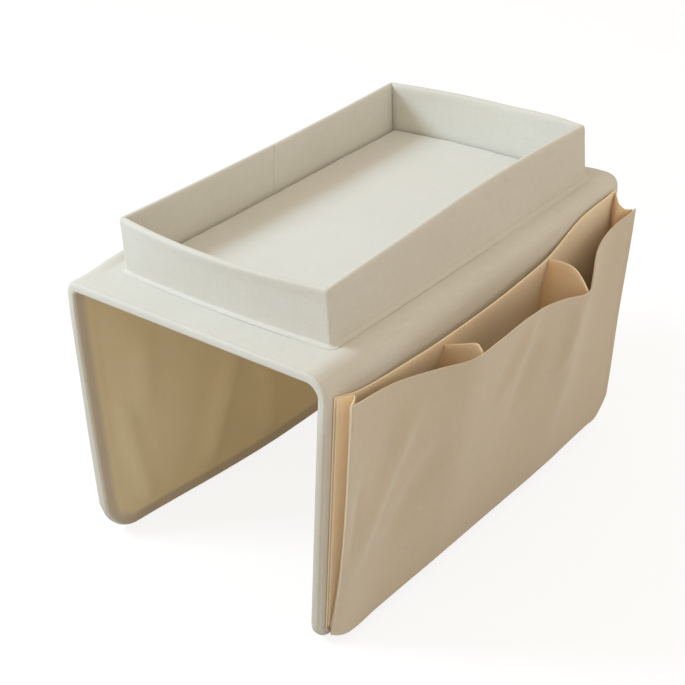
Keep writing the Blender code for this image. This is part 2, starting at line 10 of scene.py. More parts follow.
import bpy
import numpy as np
from mathutils import Matrix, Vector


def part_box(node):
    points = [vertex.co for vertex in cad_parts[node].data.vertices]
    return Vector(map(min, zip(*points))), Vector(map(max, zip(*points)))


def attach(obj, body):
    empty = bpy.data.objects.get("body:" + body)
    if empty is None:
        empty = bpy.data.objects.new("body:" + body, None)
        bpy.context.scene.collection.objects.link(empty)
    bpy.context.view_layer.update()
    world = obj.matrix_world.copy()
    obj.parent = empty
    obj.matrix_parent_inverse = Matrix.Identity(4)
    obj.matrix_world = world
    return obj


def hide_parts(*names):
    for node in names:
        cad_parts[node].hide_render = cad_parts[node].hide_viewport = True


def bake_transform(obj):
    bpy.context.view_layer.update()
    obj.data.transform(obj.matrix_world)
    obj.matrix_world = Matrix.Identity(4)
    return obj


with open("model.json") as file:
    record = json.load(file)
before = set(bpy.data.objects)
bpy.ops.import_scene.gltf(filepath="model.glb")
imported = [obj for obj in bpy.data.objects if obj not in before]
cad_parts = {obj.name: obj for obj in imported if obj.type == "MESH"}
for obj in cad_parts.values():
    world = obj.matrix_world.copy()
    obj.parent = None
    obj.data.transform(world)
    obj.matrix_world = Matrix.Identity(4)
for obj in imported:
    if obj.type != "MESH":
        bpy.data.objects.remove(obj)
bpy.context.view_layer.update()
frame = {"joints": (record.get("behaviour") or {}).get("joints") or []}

MM = 0.001

# Sizes read from the frame
TOP_LOW, TOP_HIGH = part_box("top_cover")
PANEL = TOP_HIGH.z - TOP_LOW.z  # full thickness of the top and of a side panel
HALF_LENGTH = TOP_HIGH.y
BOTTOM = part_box("left_cover")[0].z
LEFT_FOLD_LOW, LEFT_FOLD_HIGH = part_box("left_fold_canvas")
LEFT_CENTRE = (LEFT_FOLD_HIGH.x, LEFT_FOLD_LOW.z)
LEFT_RADIUS = LEFT_FOLD_HIGH.z - LEFT_FOLD_LOW.z - PANEL / 2
RIGHT_FOLD_LOW, RIGHT_FOLD_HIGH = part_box("right_fold_canvas")
RIGHT_RADIUS = RIGHT_FOLD_HIGH.x - RIGHT_FOLD_LOW.x - PANEL / 2
RIGHT_CENTRE = (RIGHT_FOLD_LOW.x, PANEL / 2 - RIGHT_RADIUS)
TRAY_LOW, TRAY_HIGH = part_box("tray_wall_cover")
INSERT_LOW, INSERT_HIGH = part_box("insert_cover")
WELT_LOW, WELT_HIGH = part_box("tray_foot_welt")
FOLD_PLACE = next(joint["pos_m"] for joint in frame["joints"] if joint["name"] == "right_fold")
RIGHT_LEAN = math.radians(5.9)  # how far the right panel hangs inwards
LEAN_SIN, LEAN_COS = math.sin(RIGHT_LEAN), math.cos(RIGHT_LEAN)

# Cloth and board
CLOTH = 0.8 * MM
BOARD = 3.8 * MM
GAP = 0.3 * MM
HEM = 12 * MM  # canvas turned over onto the inner face
LEAST_SHEET = 10.1 * MM  # the least flat size given to a sheet
EDGE_RADIUS = 2.2 * MM  # rounding of a covered edge on its outer side
EDGE_INNER = 1.3 * MM  # and on its inner side
CORNER_RADII = {"left": 25 * MM, "right": 13 * MM}  # bottom corners of the side panels


# Shared helpers


def smooth(value, low, high):
    """0 below low and 1 above high, with an even S between them."""
    t = np.clip((value - low) / (high - low), 0.0, 1.0)
    return t * t * (3 - 2 * t)


def bell(value, middle, width):
    """A soft hump of height 1, with its shoulders one width from the middle."""
    return np.exp(-(((value - middle) / width) ** 2))


def ripple(u, v, length, seed):
    """Uneven cloth, between -1 and 1: five crossing waves, each 0.8 to 2.4 times the given length."""
    chance = np.random.default_rng(seed)
    limits = ((0, math.pi), (0.8, 2.4), (0, 6))
    turns, lengths, phases = (chance.uniform(low, high, 5) for low, high in limits)
    total = 0.0
    for turn, share, phase in zip(turns, lengths, phases):
        run = u * math.cos(turn) + v * math.sin(turn)
        total = total + np.sin(2 * math.pi * run / (share * length) + phase)
    return total / len(turns)


def quarter(count):
    """Angles of a quarter turn."""
    return np.linspace(0, math.pi / 2, count)


def stacked(*parts):
    """Coordinates, each broadcast to one shape, as an array of points."""
    return np.stack(np.broadcast_arrays(*parts), axis=-1)


def numbered(points, start=0):
    """The numbers of a grid's points, counted row by row."""
    rows, columns = points.shape[:2]
    return start + np.arange(rows * columns).reshape(rows, columns)


def closed(at):
    """A grid of point numbers whose last column joins its first."""
    return np.concatenate([at, at[:, :1]], axis=1)


def border(points, open_top=False):
    """Numbers of a grid's outer points in order: down the first column, along the last row, up the last
    column and back along the first row, which is left out where the grid goes on into a neighbour."""
    at = numbered(points)
    parts = [at[:, 0], at[-1, 1:-1], at[::-1, -1]]
    if not open_top:
        parts.append(at[0, -2:0:-1])
    return np.concatenate(parts)


def quads(at, flip=False):
    """Faces of a grid of point numbers, which look along rows crossed with columns unless flipped."""
    corners = [at[:-1, :-1], at[1:, :-1], at[1:, 1:], at[:-1, 1:]]
    return np.stack(corners[::-1] if flip else corners, axis=-1).reshape(-1, 4)


def with_rings(face, rings, ring, flip, joined=False):
    """A face's points and those of the rings turned round its border, whose numbers are given, and all faces.

    Rings that are joined run all the way round."""
    turned = np.vstack([numbered(rings, face.shape[0] * face.shape[1]), ring])
    faces = [quads(numbered(face), flip), quads(closed(turned) if joined else turned, not flip)]
    return np.concatenate([face.reshape(-1, 3), rings.reshape(-1, 3)]), np.concatenate(faces)


def add_piece(name, points, faces, places, material, *bodies, blend=None, around=None, tinted=None):
    """Makes a smooth mesh with a UV map, its places in metres of cloth, instead of the node of its name.

    It rides on its first body; given blend ends, it is only fixed in place, on no body. Where the cloth runs
    round in a loop of the length "around", the faces that close it count on past its end. Tinted is each
    point's share of the tint."""
    mesh = bpy.data.meshes.new(name)
    mesh.from_pydata(np.asarray(points).reshape(-1, 3).tolist(), [], np.asarray(faces).tolist())
    corner_points, corner_edges = np.zeros((2, len(mesh.loops)), np.int32)
    mesh.loops.foreach_get("vertex_index", corner_points)
    mesh.loops.foreach_get("edge_index", corner_edges)
    on_corners = np.asarray(places).reshape(-1, 2)[corner_points].reshape(-1, 4, 2)
    if around:
        run = on_corners[..., 0]
        closing = (np.ptp(run, axis=1) > around / 2)[:, None] & (run < around / 2)
        run += around * closing
    mesh.uv_layers.new(name="cloth").data.foreach_set("uv", on_corners.astype(np.float32).ravel())
    mesh.shade_smooth()
    open_edges = np.bincount(corner_edges, minlength=len(mesh.edges)) == 1
    mesh.attributes.new("sharp_edge", "BOOLEAN", "EDGE").data.foreach_set("value", open_edges)
    if tinted is not None:
        shares = tinted.ravel().astype(np.float32)
        mesh.attributes.new("tinted", "FLOAT", "POINT").data.foreach_set("value", shares)
    mesh.materials.append(material)
    piece = bpy.data.objects.new(name, mesh)
    bpy.context.scene.collection.objects.link(piece)
    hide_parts(name)
    if blend:
        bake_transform(piece)
    else:
        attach(piece, bodies[0])
    return piece


def cloth_sheet(piece, held, *rests_on, faces=1):
    """Works out a piece of cloth's flat size and area, which nothing uses, and returns the piece. Its flat
    size is that of its UV map, which is in metres of cloth.

    A closed mesh shows both faces of the cloth, so that its area counts half. Over a fold the map follows the
    middle line, so the narrow side is as much longer as the cloth's area is larger than the map's."""
    mesh = piece.data
    places, areas = np.zeros(len(mesh.loops) * 2, np.float32), np.zeros(len(mesh.polygons), np.float32)
    mesh.uv_layers["cloth"].data.foreach_get("uv", places)
    mesh.polygons.foreach_get("area", areas)
    places = places.reshape(-1, 4, 2)
    across, along = (places[:, 2] - places[:, 0]).T, (places[:, 3] - places[:, 1]).T
    map_area = np.abs(across[0] * along[1] - across[1] * along[0]).sum() / 2 / faces
    area = areas.sum() / faces
    size = np.ptp(places.reshape(-1, 2), axis=0)
    size[np.argmin(size)] *= max(area / map_area, 1.0)
    size = np.maximum(size, LEAST_SHEET)
    area = float(min(area, size.prod()))
    return piece


def thicken(piece, thickness, offset=-1.0):
    """Gives an open surface its thickness, inwards from its face unless told otherwise."""
    solid = piece.modifiers.new("thickness", "SOLIDIFY")
    solid.thickness = thickness
    solid.offset = offset


def layer(name, points, places, material, thickness, *bodies, flip=False, **options):
    """A plain layer, such as a board or a lining: a grid at its middle depth, thickened to both sides."""
    piece = add_piece(name, points, quads(numbered(points), flip), places, material, *bodies, **options)
    thicken(piece, thickness, 0.0)
    return piece


def span_with_ends(length, count, radius):
    """Shares from 0 to 1, evenly spaced but close at both ends, to round an edge of that radius."""
    near = np.array([0.0, 0.12, 0.5, 1.0]) * radius / length
    return np.concatenate([near, np.linspace(near[-1], 1 - near[-1], count)[1:-1], 1 - near[::-1]])


def two_faced(middle, thickness):
    """A sheet's two faces, half a thickness to either side of its middle, and the faces of a closed mesh.

    The normal is the cross product of the grid's own directions. The thickness shrinks to nothing at the
    border along a quarter circle, by the distance to it along the grid, so that the edges are round."""
    normal = np.cross(np.gradient(middle, axis=0), np.gradient(middle, axis=1))
    normal /= np.linalg.norm(normal, axis=-1, keepdims=True)
    rounding = np.ones(middle.shape[:2])
    for axis in (0, 1):
        lengths = np.linalg.norm(np.diff(middle, axis=axis), axis=-1)
        start = np.zeros_like(np.take(lengths, [0], axis=axis))
        run = np.concatenate([start, np.cumsum(lengths, axis=axis)], axis=axis)
        left = np.take(run, [-1], axis=axis) - run
        share = np.clip(np.minimum(run, left) / (thickness / 2), 0.03, 1.0)
        rounding = np.minimum(rounding, np.sqrt(1 - (1 - share) ** 2))
    half = (thickness * rounding / 2)[..., None] * normal
    at = numbered(middle)
    back = at + at.size
    ring = border(middle)
    ring = np.append(ring, ring[0])
    faces = [quads(at), quads(back, flip=True), quads(np.stack([ring, ring + at.size]))]
    return np.concatenate([middle + half, middle - half]).reshape(-1, 3), np.concatenate(faces)


# Materials

FACTOR, FIRST, SECOND, MIXED = 0, 6, 7, 2  # numbers of the Mix node's sockets for colours


def hex_colour(text):
    """An sRGB hex colour as the linear numbers that a shader takes."""
    value = np.array([int(text[i : i + 2], 16) for i in (1, 3, 5)]) / 255
    return (*np.where(value <= 0.04045, value / 12.92, ((value + 0.055) / 1.055) ** 2.4).tolist(), 1.0)


def node(tree, kind, settings, output=None):
    """Adds a node and returns it, or one of its outputs.

    A setting is one of the node's inputs, by name or number, as a value or a link, or else a property."""
    made = tree.nodes.new("ShaderNode" + kind)
    for key, value in settings.items():
        if isinstance(key, int) or key in made.inputs:
            if isinstance(value, bpy.types.NodeSocket):
                tree.links.new(value, made.inputs[key])
            else:
                made.inputs[key].default_value = value
        else:
            setattr(made, key, value)
    return made if output is None else made.outputs[output]


def new_material(name, roughness, specular):
    """A material's node tree, its shader and the cloth's own coordinates in metres."""
    material = bpy.data.materials.new(name)
    material.use_nodes = True
    tree = material.node_tree
    shader = tree.nodes["Principled BSDF"]
    shader.inputs["Roughness"].default_value = roughness
    shader.inputs["Specular IOR Level"].default_value = specular
    return material, tree, shader, node(tree, "UVMap", {"uv_map": "cloth"}, "UV")


def set_surface(tree, shader, cloth, colours, tone, patch, height, relief, tint):
    """Links a shader's colour and relief.

    The colour lies between a light and a dark one by a fine tone and by broad patches of the given size. It
    is multiplied by a tint in the share that each point has of it: painted shade on the side panels' edges,
    and over a hem a greying that is partly painted shade."""
    light, dark = (hex_colour(text) for text in colours)
    patches = node(tree, "TexNoise", {"Vector": cloth, "Scale": 1 / patch, "Detail": 2.0}, "Fac")
    tone = node(tree, "Math", {"operation": "MULTIPLY_ADD", 0: patches, 1: 0.5, 2: tone}, 0)
    colour = node(tree, "Mix", {"data_type": "RGBA", FACTOR: tone, FIRST: dark, SECOND: light}, MIXED)
    if tint:
        share = node(tree, "Attribute", {"attribute_name": "tinted"}, "Fac")
        multiply = {"data_type": "RGBA", "blend_type": "MULTIPLY", FACTOR: share, FIRST: colour, SECOND: tint}
        colour = node(tree, "Mix", multiply, MIXED)
    tree.links.new(colour, shader.inputs["Base Color"])
    bump = node(tree, "Bump", {"Height": height, "Distance": relief, "Strength": 1.0}, "Normal")
    tree.links.new(bump, shader.inputs["Normal"])


def band_scale(spacing):
    """The Wave Texture's scale for one band on each spacing: a band is a turn of 20 times the scale."""
    return 2 * math.pi / (20 * spacing)


def woven(name, slot, colours, thread, slub, relief, sheen, lets_through=0.0, tint=None):
    """Plain-woven cotton: rows of threads over and under each other, with slubs, where a thread runs thick.

    The threads are drawn at the given spacing. Slubs are noise stretched along each of the two thread
    directions. Both raise the surface, and the slubs and broad patches also change the colour a little. What
    it lets through is the share of the light that scatters inside the cloth."""
    material, tree, shader, cloth = new_material(name, roughness=0.9, specular=0.2)
    bands, slubs = [], []
    for direction, (length, width) in (("X", slub), ("Y", slub[::-1])):
        wave = {"Vector": cloth, "bands_direction": direction, "Scale": band_scale(thread), "Distortion": 0.6,
                "Detail": 1.0, "Detail Scale": 0.4}
        bands.append(node(tree, "TexWave", wave, "Fac"))
        drawn_out = node(tree, "Mapping", {"Vector": cloth, "Scale": (1 / length, 1 / width, 1.0)}, 0)
        grain = {"Vector": drawn_out, "Scale": 1.0, "Detail": 3.0, "Roughness": 0.55}
        slubs.append(node(tree, "TexNoise", grain, "Fac"))
    weave = node(tree, "Math", {"operation": "MULTIPLY", 0: bands[0], 1: bands[1]}, 0)
    slub_sum = node(tree, "Math", {"operation": "ADD", 0: slubs[0], 1: slubs[1]}, 0)
    tone = node(tree, "Math", {"operation": "MULTIPLY_ADD", 0: slub_sum, 1: 0.7, 2: -0.45}, 0)
    height = node(tree, "Math", {"operation": "MULTIPLY_ADD", 0: slub_sum, 1: 0.8, 2: weave}, 0)
    set_surface(tree, shader, cloth, colours, tone, 60 * MM, height, relief, tint)
    shader.inputs["Sheen Weight"].default_value = sheen
    shader.inputs["Sheen Roughness"].default_value = 0.5
    if lets_through:
        shader.inputs["Subsurface Weight"].default_value = lets_through
        shader.inputs["Subsurface Radius"].default_value = (1.0, 0.75, 0.5)
        shader.inputs["Subsurface Scale"].default_value = 1.0 * MM
    return material


def pressed_fibre(name, colours, grain, dots, relief, tint=None):
    """Non-woven cloth or board: matted fibres as fine noise, and on cloth a grid of pressed dots."""
    material, tree, shader, cloth = new_material(name, roughness=0.95, specular=0.15)
    fibres = node(tree, "TexNoise", {"Vector": cloth, "Scale": 1 / grain, "Detail": 5.0}, "Fac")
    height = fibres
    if dots:
        cells = {"Vector": cloth, "Scale": 1 / dots, "Randomness": 0.15}
        pressed = node(tree, "TexVoronoi", cells, "Distance")
        height = node(tree, "Math", {"operation": "ADD", 0: fibres, 1: pressed}, 0)
    tone = node(tree, "Math", {"operation": "MULTIPLY_ADD", 0: fibres, 1: 0.6, 2: -0.1}, 0)
    set_surface(tree, shader, cloth, colours, tone, 45 * MM, height, relief, tint)
    return material


# Linen-look cotton canvas, plain-woven: matt, with slubs as faint streaks. Its threads are 0.5 mm apart and
# are drawn 0.9 mm apart, so that they show. On the side panels its turned edges are tinted darker: painted
# shade.
IVORY = ("#E4E3DA", "#D6D3C8")
COARSE = (0.9 * MM, (14 * MM, 1.1 * MM))  # spacing of the threads, then length and width of the slubs
CANVAS = woven("linen_look_canvas", "ivory_canvas", IVORY, *COARSE, 0.10 * MM, 0.15)
# The same canvas with a darker tint on the side panels' edge rims: painted shade.
PANEL_CANVAS = woven("linen_look_canvas_painted_edge_shade", "ivory_canvas", IVORY, *COARSE, 0.10 * MM, 0.15,
                     tint=(0.86, 0.83, 0.78, 1.0))
INSERT_CANVAS = woven("bleached_canvas", "insert_canvas", ("#E6E6DF", "#DAD9D0"), *COARSE, 0.09 * MM, 0.15)
# Brushed cotton, plain-woven and soft: nearly even, with a slight sheen. Threads are drawn 0.7 mm apart.
FINE = (0.7 * MM, (9 * MM, 1.4 * MM))
POCKET_CLOTH = woven("brushed_cotton", "apricot_cloth", ("#D9CEBA", "#CEC2AC"), *FINE, 0.05 * MM, 0.25, 0.9)
# The same cloth on the pocket's inner pieces, made lighter and warmer: painted light where too little light
# reaches inside the pocket.
POCKET_INNER_PAINTED_LIGHT = woven("brushed_cotton_inner_painted_light", "apricot_cloth", ("#FCE6C9", "#F8DDBA"), *FINE, 0.05 * MM, 0.25,
                      1.0)
# Spunbond lining, pressed from fibres: matt, with dots 1.2 mm apart. Over the canvas's hem it is tinted
# greyer
# and darker: partly the hem beneath it, partly painted shade along the edges.
LINING = pressed_fibre("spunbond_lining", ("#EEDFBE", "#E1D0AB"), 0.8 * MM, 1.2 * MM, 0.06 * MM,
                       (0.74, 0.75, 0.89, 1.0))
# Grey pulp board, rolled: matt and flecked.
PULP_BOARD = pressed_fibre("pulp_board", ("#B3AA9A", "#A0968A"), 0.6 * MM, None, 0.03 * MM)


# The saddle: one line seen from the front, from the left panel's bottom edge to the right one's

RIGHT_START = (RIGHT_CENTRE[0] + RIGHT_RADIUS * LEAN_COS, RIGHT_CENTRE[1] - RIGHT_RADIUS * LEAN_SIN)
RIGHT_DROP = (RIGHT_START[1] - BOTTOM - PANEL / 2 * LEAN_SIN) / LEAN_COS
LEFT_DROP = LEFT_CENTRE[1] - BOTTOM
RUNS = (  # length, turning radius, where the run or its arc's centre is, and the outward normal's angle
    (LEFT_DROP, 0.0, (LEFT_CENTRE[0] - LEFT_RADIUS, BOTTOM), math.pi),
    (LEFT_RADIUS * math.pi / 2, LEFT_RADIUS, LEFT_CENTRE, math.pi),
    (RIGHT_CENTRE[0] - LEFT_CENTRE[0], 0.0, (LEFT_CENTRE[0], PANEL / 2), math.pi / 2),
    (RIGHT_RADIUS * (math.pi / 2 + RIGHT_LEAN), RIGHT_RADIUS, RIGHT_CENTRE, math.pi / 2),
    (RIGHT_DROP, 0.0, RIGHT_START, -RIGHT_LEAN),
)
LEFT_FOLD_AT, TOP_AT, RIGHT_FOLD_AT, RIGHT_AT = np.cumsum([run[0] for run in RUNS[:-1]])

# How the body gives under its own weight
SWING, BOW_OUT = 12 * MM, 4.8 * MM  # the left panel: its bottom inwards, and its front edge outwards
DRAWN_IN = 5 * MM  # the right shoulder, at the rear
LIP = 3.4 * MM  # cloth that stands up along the left fold
REAR_LIFT, RIGHT_LIFT = 2.4 * MM, 1.8 * MM  # along the rear edge and along the right fold


def saddle_line(distance):
    """The saddle's middle line, at distances from the left panel's bottom edge, and its outward normal.

    A straight run keeps the normal's angle. Along an arc the angle falls by the distance over the radius."""
    x, z, angle = (np.zeros_like(distance) for _ in range(3))
    start = 0.0
    for length, radius, (x0, z0), turned in RUNS:
        here = (distance >= start - 1e-9) | (start == 0.0)
        run = distance[here] - start
        now = turned - run / radius if radius else turned + 0 * run
        ahead = 0.0 if radius else run
        x[here] = x0 + radius * np.cos(now) + ahead * math.sin(turned)
        z[here] = z0 + radius * np.sin(now) - ahead * math.cos(turned)
        angle[here] = now
        start += length
    return x, z, np.cos(angle), np.sin(angle)


def squared(distance, start, end, power):
    """How far a fold is squared off: a circle's radius times this gives a curve nearer to a right angle.

    The curve is where the sum of cosine and sine, each to the power, is 1. A power of 2 is the circle."""
    turn = np.clip((distance - start) / (end - start), 0, 1) * math.pi / 2
    return (np.cos(turn) ** power + np.sin(turn) ** power) ** (-1 / power)


def settle(points, on_left=0.0):
    """How the body gives under its own weight, as smooth shifts of the plain shape.

    What hangs on the left, where on_left is 1, swings in towards its bottom behind its front edge, which
    stays bowed out, and the cloth lifts to a lip along the left fold. At the rear the right shoulder is drawn
    in and lifts a little."""
    x, y, z = np.moveaxis(points, -1, 0)
    below = np.clip(-z / -BOTTOM, 0, 1)
    rearward = np.clip((y + HALF_LENGTH) / (2 * HALF_LENGTH), 0, 1)
    swing = SWING * smooth(y, -172 * MM, 12 * MM) * below**1.2
    bow_out = BOW_OUT * (1 - 0.4 * smooth(y, -140 * MM, -60 * MM)) * (1 - 0.55 * below**3)
    bow_out = bow_out * (1 - 0.2 * smooth(z, -20 * MM, 5 * MM))
    right = smooth(x, 60 * MM, 98 * MM)
    drawn_in = DRAWN_IN * rearward**2 * (1 - smooth(-z, 20 * MM, 130 * MM))
    lip_ends = smooth(y, -150 * MM, -112 * MM) * (1 - 0.6 * smooth(y, 60 * MM, 160 * MM))
    lip = LIP * smooth(-x, 92 * MM, 101 * MM) * lip_ends * smooth(z, -12 * MM, -2 * MM)
    rear_edge = REAR_LIFT * smooth(y, 148.5 * MM, 160 * MM) * smooth(x, 50 * MM, 84 * MM)
    right_edge = RIGHT_LIFT * smooth(x, 84.5 * MM, 94 * MM) * smooth(y, 20 * MM, 150 * MM)
    lift = np.maximum(rear_edge, right_edge) * smooth(z, -25 * MM, -3 * MM)
    return points + np.stack([on_left * (swing - bow_out) - right * drawn_in, 0 * x, lip + lift], axis=-1)


def on_saddle(distance, along, depth):
    """Points at a distance round the saddle and a place along it, a depth outwards from its middle line.

    The left fold is squared off, and the right one more and more towards the rear."""
    distance, along, depth = np.broadcast_arrays(distance, along, depth)
    x, z, out_x, out_z = saddle_line(distance)
    left = (LEFT_RADIUS + depth) * (squared(distance, LEFT_FOLD_AT, TOP_AT, 5.0) - 1)
    power = 2 + 2.0 * smooth(along, -60 * MM, HALF_LENGTH)
    right = (RIGHT_RADIUS + depth) * (squared(distance, RIGHT_FOLD_AT, RIGHT_AT, power) - 1)
    depth = depth + left + right
    hanging = 1 - smooth(distance, LEFT_FOLD_AT, TOP_AT)
    return settle(np.stack([x + depth * out_x, along, z + depth * out_z], axis=-1), hanging)


COLUMNS = 72  # across a cover's face
FACE_SHARES = np.linspace(-1, 1, COLUMNS)


def edge_turn():
    """How canvas turns from the hem on the inner face round an edge to the outer face: insets and depths.

    Flat hem, a quarter circle, a short straight rim and another quarter circle."""
    turn = quarter(6)
    half = PANEL / 2
    hem = np.linspace(HEM, EDGE_INNER, 5)[:-1]
    insets = [hem, EDGE_INNER * (1 - np.sin(turn)), EDGE_RADIUS * (1 - np.cos(turn))]
    depths = [0 * hem, EDGE_INNER * (1 - np.cos(turn)), PANEL - EDGE_RADIUS * (1 - np.sin(turn))]
    return np.concatenate(insets), np.concatenate(depths) - half


EDGE_INSETS, EDGE_DEPTHS = edge_turn()
EDGE_STEPS = np.hypot(np.diff(EDGE_INSETS), np.diff(EDGE_DEPTHS))
EDGE_WRAP = np.cumsum(EDGE_STEPS[::-1])[::-1]  # cloth from the outer face out to each ring
EDGE_INSETS, EDGE_DEPTHS = EDGE_INSETS[:-1], EDGE_DEPTHS[:-1]  # the last ring is the face's own border


def unevenness(distance, along):
    """How far the outer canvas stands off its board: gentle swells and finer puckers."""
    return 0.16 * MM * ripple(distance, along, 70 * MM, 3) + 0.07 * MM * ripple(distance, along, 22 * MM, 8)


def open_cover(name, start, end, rows, *bodies, blend=None):
    """Canvas over the top or a fold: its section, hem to hem, carried along the saddle's line."""
    distance = np.linspace(start, end, rows)[:, None]
    reach, wrap = HALF_LENGTH - EDGE_INSETS, HALF_LENGTH + EDGE_WRAP
    face = FACE_SHARES * (HALF_LENGTH - EDGE_RADIUS)
    along = np.concatenate([-reach, face, reach[::-1]])
    depth = np.concatenate([EDGE_DEPTHS, np.full(COLUMNS, PANEL / 2), EDGE_DEPTHS[::-1]])
    outside = smooth(depth, 0.0, PANEL / 2)
    points = on_saddle(distance, along, depth + outside * unevenness(distance, along))
    places = stacked(distance, np.concatenate([-wrap, face, wrap[::-1]]))
    piece = add_piece(name, points, quads(numbered(points)), places, CANVAS, *bodies, blend=blend)
    thicken(cloth_sheet(piece, "stretched", "top_board"), CLOTH)


def hanging_shape(drop, inset, corner):
    """A side panel's outline, drawn in by an inset: each row's place below the fold line and its half length.

    Straight down, then a quarter circle round the bottom corner. Also each row end's outward direction."""
    turn = quarter(10)
    straight = np.linspace(0, drop - corner, 44)[:-1]
    radius = corner - inset
    down = np.concatenate([straight, drop - corner + radius * np.sin(turn)])
    lean_down = np.concatenate([np.zeros_like(straight), np.sin(turn)])
    lean_out = np.concatenate([np.ones_like(straight), np.cos(turn)])
    return down, HALF_LENGTH - corner + radius * lean_out, lean_down, lean_out


def panel_frame(side):
    """Where a side panel's fold line is along the saddle, which way down is, and its drop."""
    return (LEFT_FOLD_AT, -1, LEFT_DROP) if side == "left" else (RIGHT_AT, 1, RIGHT_DROP)


def panel_grid(side, inset):
    """A side panel inside its outline by an inset: distances round the saddle and places along it."""
    start, sign, drop = panel_frame(side)
    down, half, _, _ = hanging_shape(drop, inset, CORNER_RADII[side])
    return start + sign * np.broadcast_to(down[:, None], (len(down), COLUMNS)), half[:, None] * FACE_SHARES


def edge_swell(side, down, along):
    """The left panel's canvas stands off its front edge, more further down, and lies flat at the corner."""
    if side == "right":
        return 0.0
    corner_start = LEFT_DROP - CORNER_RADII["left"]
    below = smooth(down, 30 * MM, corner_start) * (1 - smooth(down, corner_start, corner_start + 3 * MM))
    return 1.9 * MM * below * (1 - smooth(along, -HALF_LENGTH + 4 * MM, -HALF_LENGTH + 24 * MM))


def panel_cover(side, body):
    """Canvas over a side panel: the outer face, and round its three free edges the turn to the hem inside.

    The turn is a ring of the outline at each inset and depth of the edge's section."""
    start, sign, drop = panel_frame(side)
    down, half, lean_down, lean_out = hanging_shape(drop, 0.0, CORNER_RADII[side])
    bottom = FACE_SHARES[1:-1] * half[-1]
    outline = (np.concatenate([down, drop + 0 * bottom, down[::-1]]),
               np.concatenate([-half, bottom, half[::-1]]))
    outwards = (np.concatenate([lean_down, 1 + 0 * bottom, lean_down[::-1]]),
                np.concatenate([-lean_out, 0 * bottom, lean_out[::-1]]))

    def ring(insets):
        """Distances round the saddle and places along it of the outline, drawn in by each inset."""
        down, along = (place - insets[:, None] * out for place, out in zip(outline, outwards))
        return start + sign * down, along

    def placed(distance, along, depth):
        """Points of the canvas, which stands off its board on the outside."""
        stand_off = unevenness(distance, along) + edge_swell(side, (distance - start) * sign, along)
        return on_saddle(distance, along, depth + smooth(depth, 0.0, PANEL / 2) * stand_off)

    face_at, rings_at = panel_grid(side, EDGE_RADIUS), ring(EDGE_INSETS)
    face, rings = placed(*face_at, PANEL / 2), placed(*rings_at, EDGE_DEPTHS[:, None])
    points, faces = with_rings(face, rings, border(face, open_top=True), flip=sign < 0)
    places = [stacked(*at).reshape(-1, 2) for at in (face_at, ring(EDGE_RADIUS - EDGE_WRAP))]
    # Painted shade: the rims of the free edges, from the fold down, are tinted darker than the canvas.
    painted_edge_shade = 1 - smooth(np.abs(EDGE_DEPTHS[:, None]), 0.75 * PANEL / 2, PANEL / 2)
    painted_edge_shade = painted_edge_shade * smooth((rings_at[0] - start) * sign, 0.0, 40 * MM)
    piece = add_piece(side + "_cover", points, faces, np.concatenate(places), PANEL_CANVAS, body,
                      tinted=np.append(np.zeros(face.shape[:2]), painted_edge_shade))
    thicken(cloth_sheet(piece, "stretched", side + "_board"), CLOTH)


def from_edge(along, left_below, corner):
    """Distance inwards from a rounded outline. What is left below is the way down to the bottom edge."""
    past_side, past_bottom = np.broadcast_arrays(np.abs(along) - (HALF_LENGTH - corner), corner - left_below)
    beyond = np.hypot(np.maximum(past_side, 0), np.maximum(past_bottom, 0))
    return corner - beyond - np.minimum(np.maximum(past_side, past_bottom), 0)


def ridge(u, v, start, end, width, height, fade):
    """A soft ridge along a line. It fades in, and out again, between pairs of shares of the line's length."""
    run_u, run_v = np.subtract(end, start)
    square = run_u**2 + run_v**2
    share = ((u - start[0]) * run_u + (v - start[1]) * run_v) / square
    across = ((u - start[0]) * run_v - (v - start[1]) * run_u) / math.sqrt(square)
    return height * bell(across, 0.0, width) * smooth(share, *fade[:2]) * (1 - smooth(share, *fade[2:]))


# Folds of the left lining: both ends as places along and down the panel, half width and how far off the board
LINING_FOLDS = (
    ((-133 * MM, 95 * MM), (-122 * MM, 180 * MM), 6 * MM, 2.2 * MM),
    ((-108 * MM, 50 * MM), (-116 * MM, 98 * MM), 12 * MM, 3.2 * MM),
    ((-30 * MM, 98 * MM), (-70 * MM, 172 * MM), 9 * MM, 4.6 * MM),
    ((-2 * MM, 120 * MM), (-11 * MM, 186 * MM), 9 * MM, 5.2 * MM),
)
LINING_FADE = (-0.35, 0.3, 0.8, 1.4)
LINING_INSET = 1.6 * MM
BOARD_INSET = CLOTH + GAP


def lining_rise(side, distance, along):
    """How far a lining stands inwards of its flat place, and how much of it lies over the canvas's hem, where
    it is tinted with partly painted shade.

    It lies over the hem all round, has soft upright waves, and on the left panel a few larger folds."""
    start, sign, drop = panel_frame(side) if side else (0.0, 0, 0.0)
    down = (distance - start) * sign
    inwards = from_edge(along, drop - down, CORNER_RADII[side]) if side else HALF_LENGTH - np.abs(along)
    # Over the hem the tint makes the lining greyer and darker: partly the hem beneath, partly painted shade.
    hem_grey_and_painted_shade = 1 - smooth(inwards, 7.5 * MM, 9.5 * MM)
    waves = 1 + np.sin(along / (7.5 * MM) + 2.5 * ripple(distance, along, 90 * MM, 21))
    waves = 0.15 * MM * waves * smooth(inwards, HEM, 2.5 * HEM)
    rise = (CLOTH + GAP / 2) * (1 - smooth(inwards, HEM, HEM + 1.5 * MM)) + waves
    for fold in LINING_FOLDS if side == "left" else ():
        rise = rise + ridge(along, down, *fold, LINING_FADE) * smooth(inwards, 0.5 * HEM, 1.6 * HEM)
    return rise, hem_grey_and_painted_shade * np.ones_like(rise)


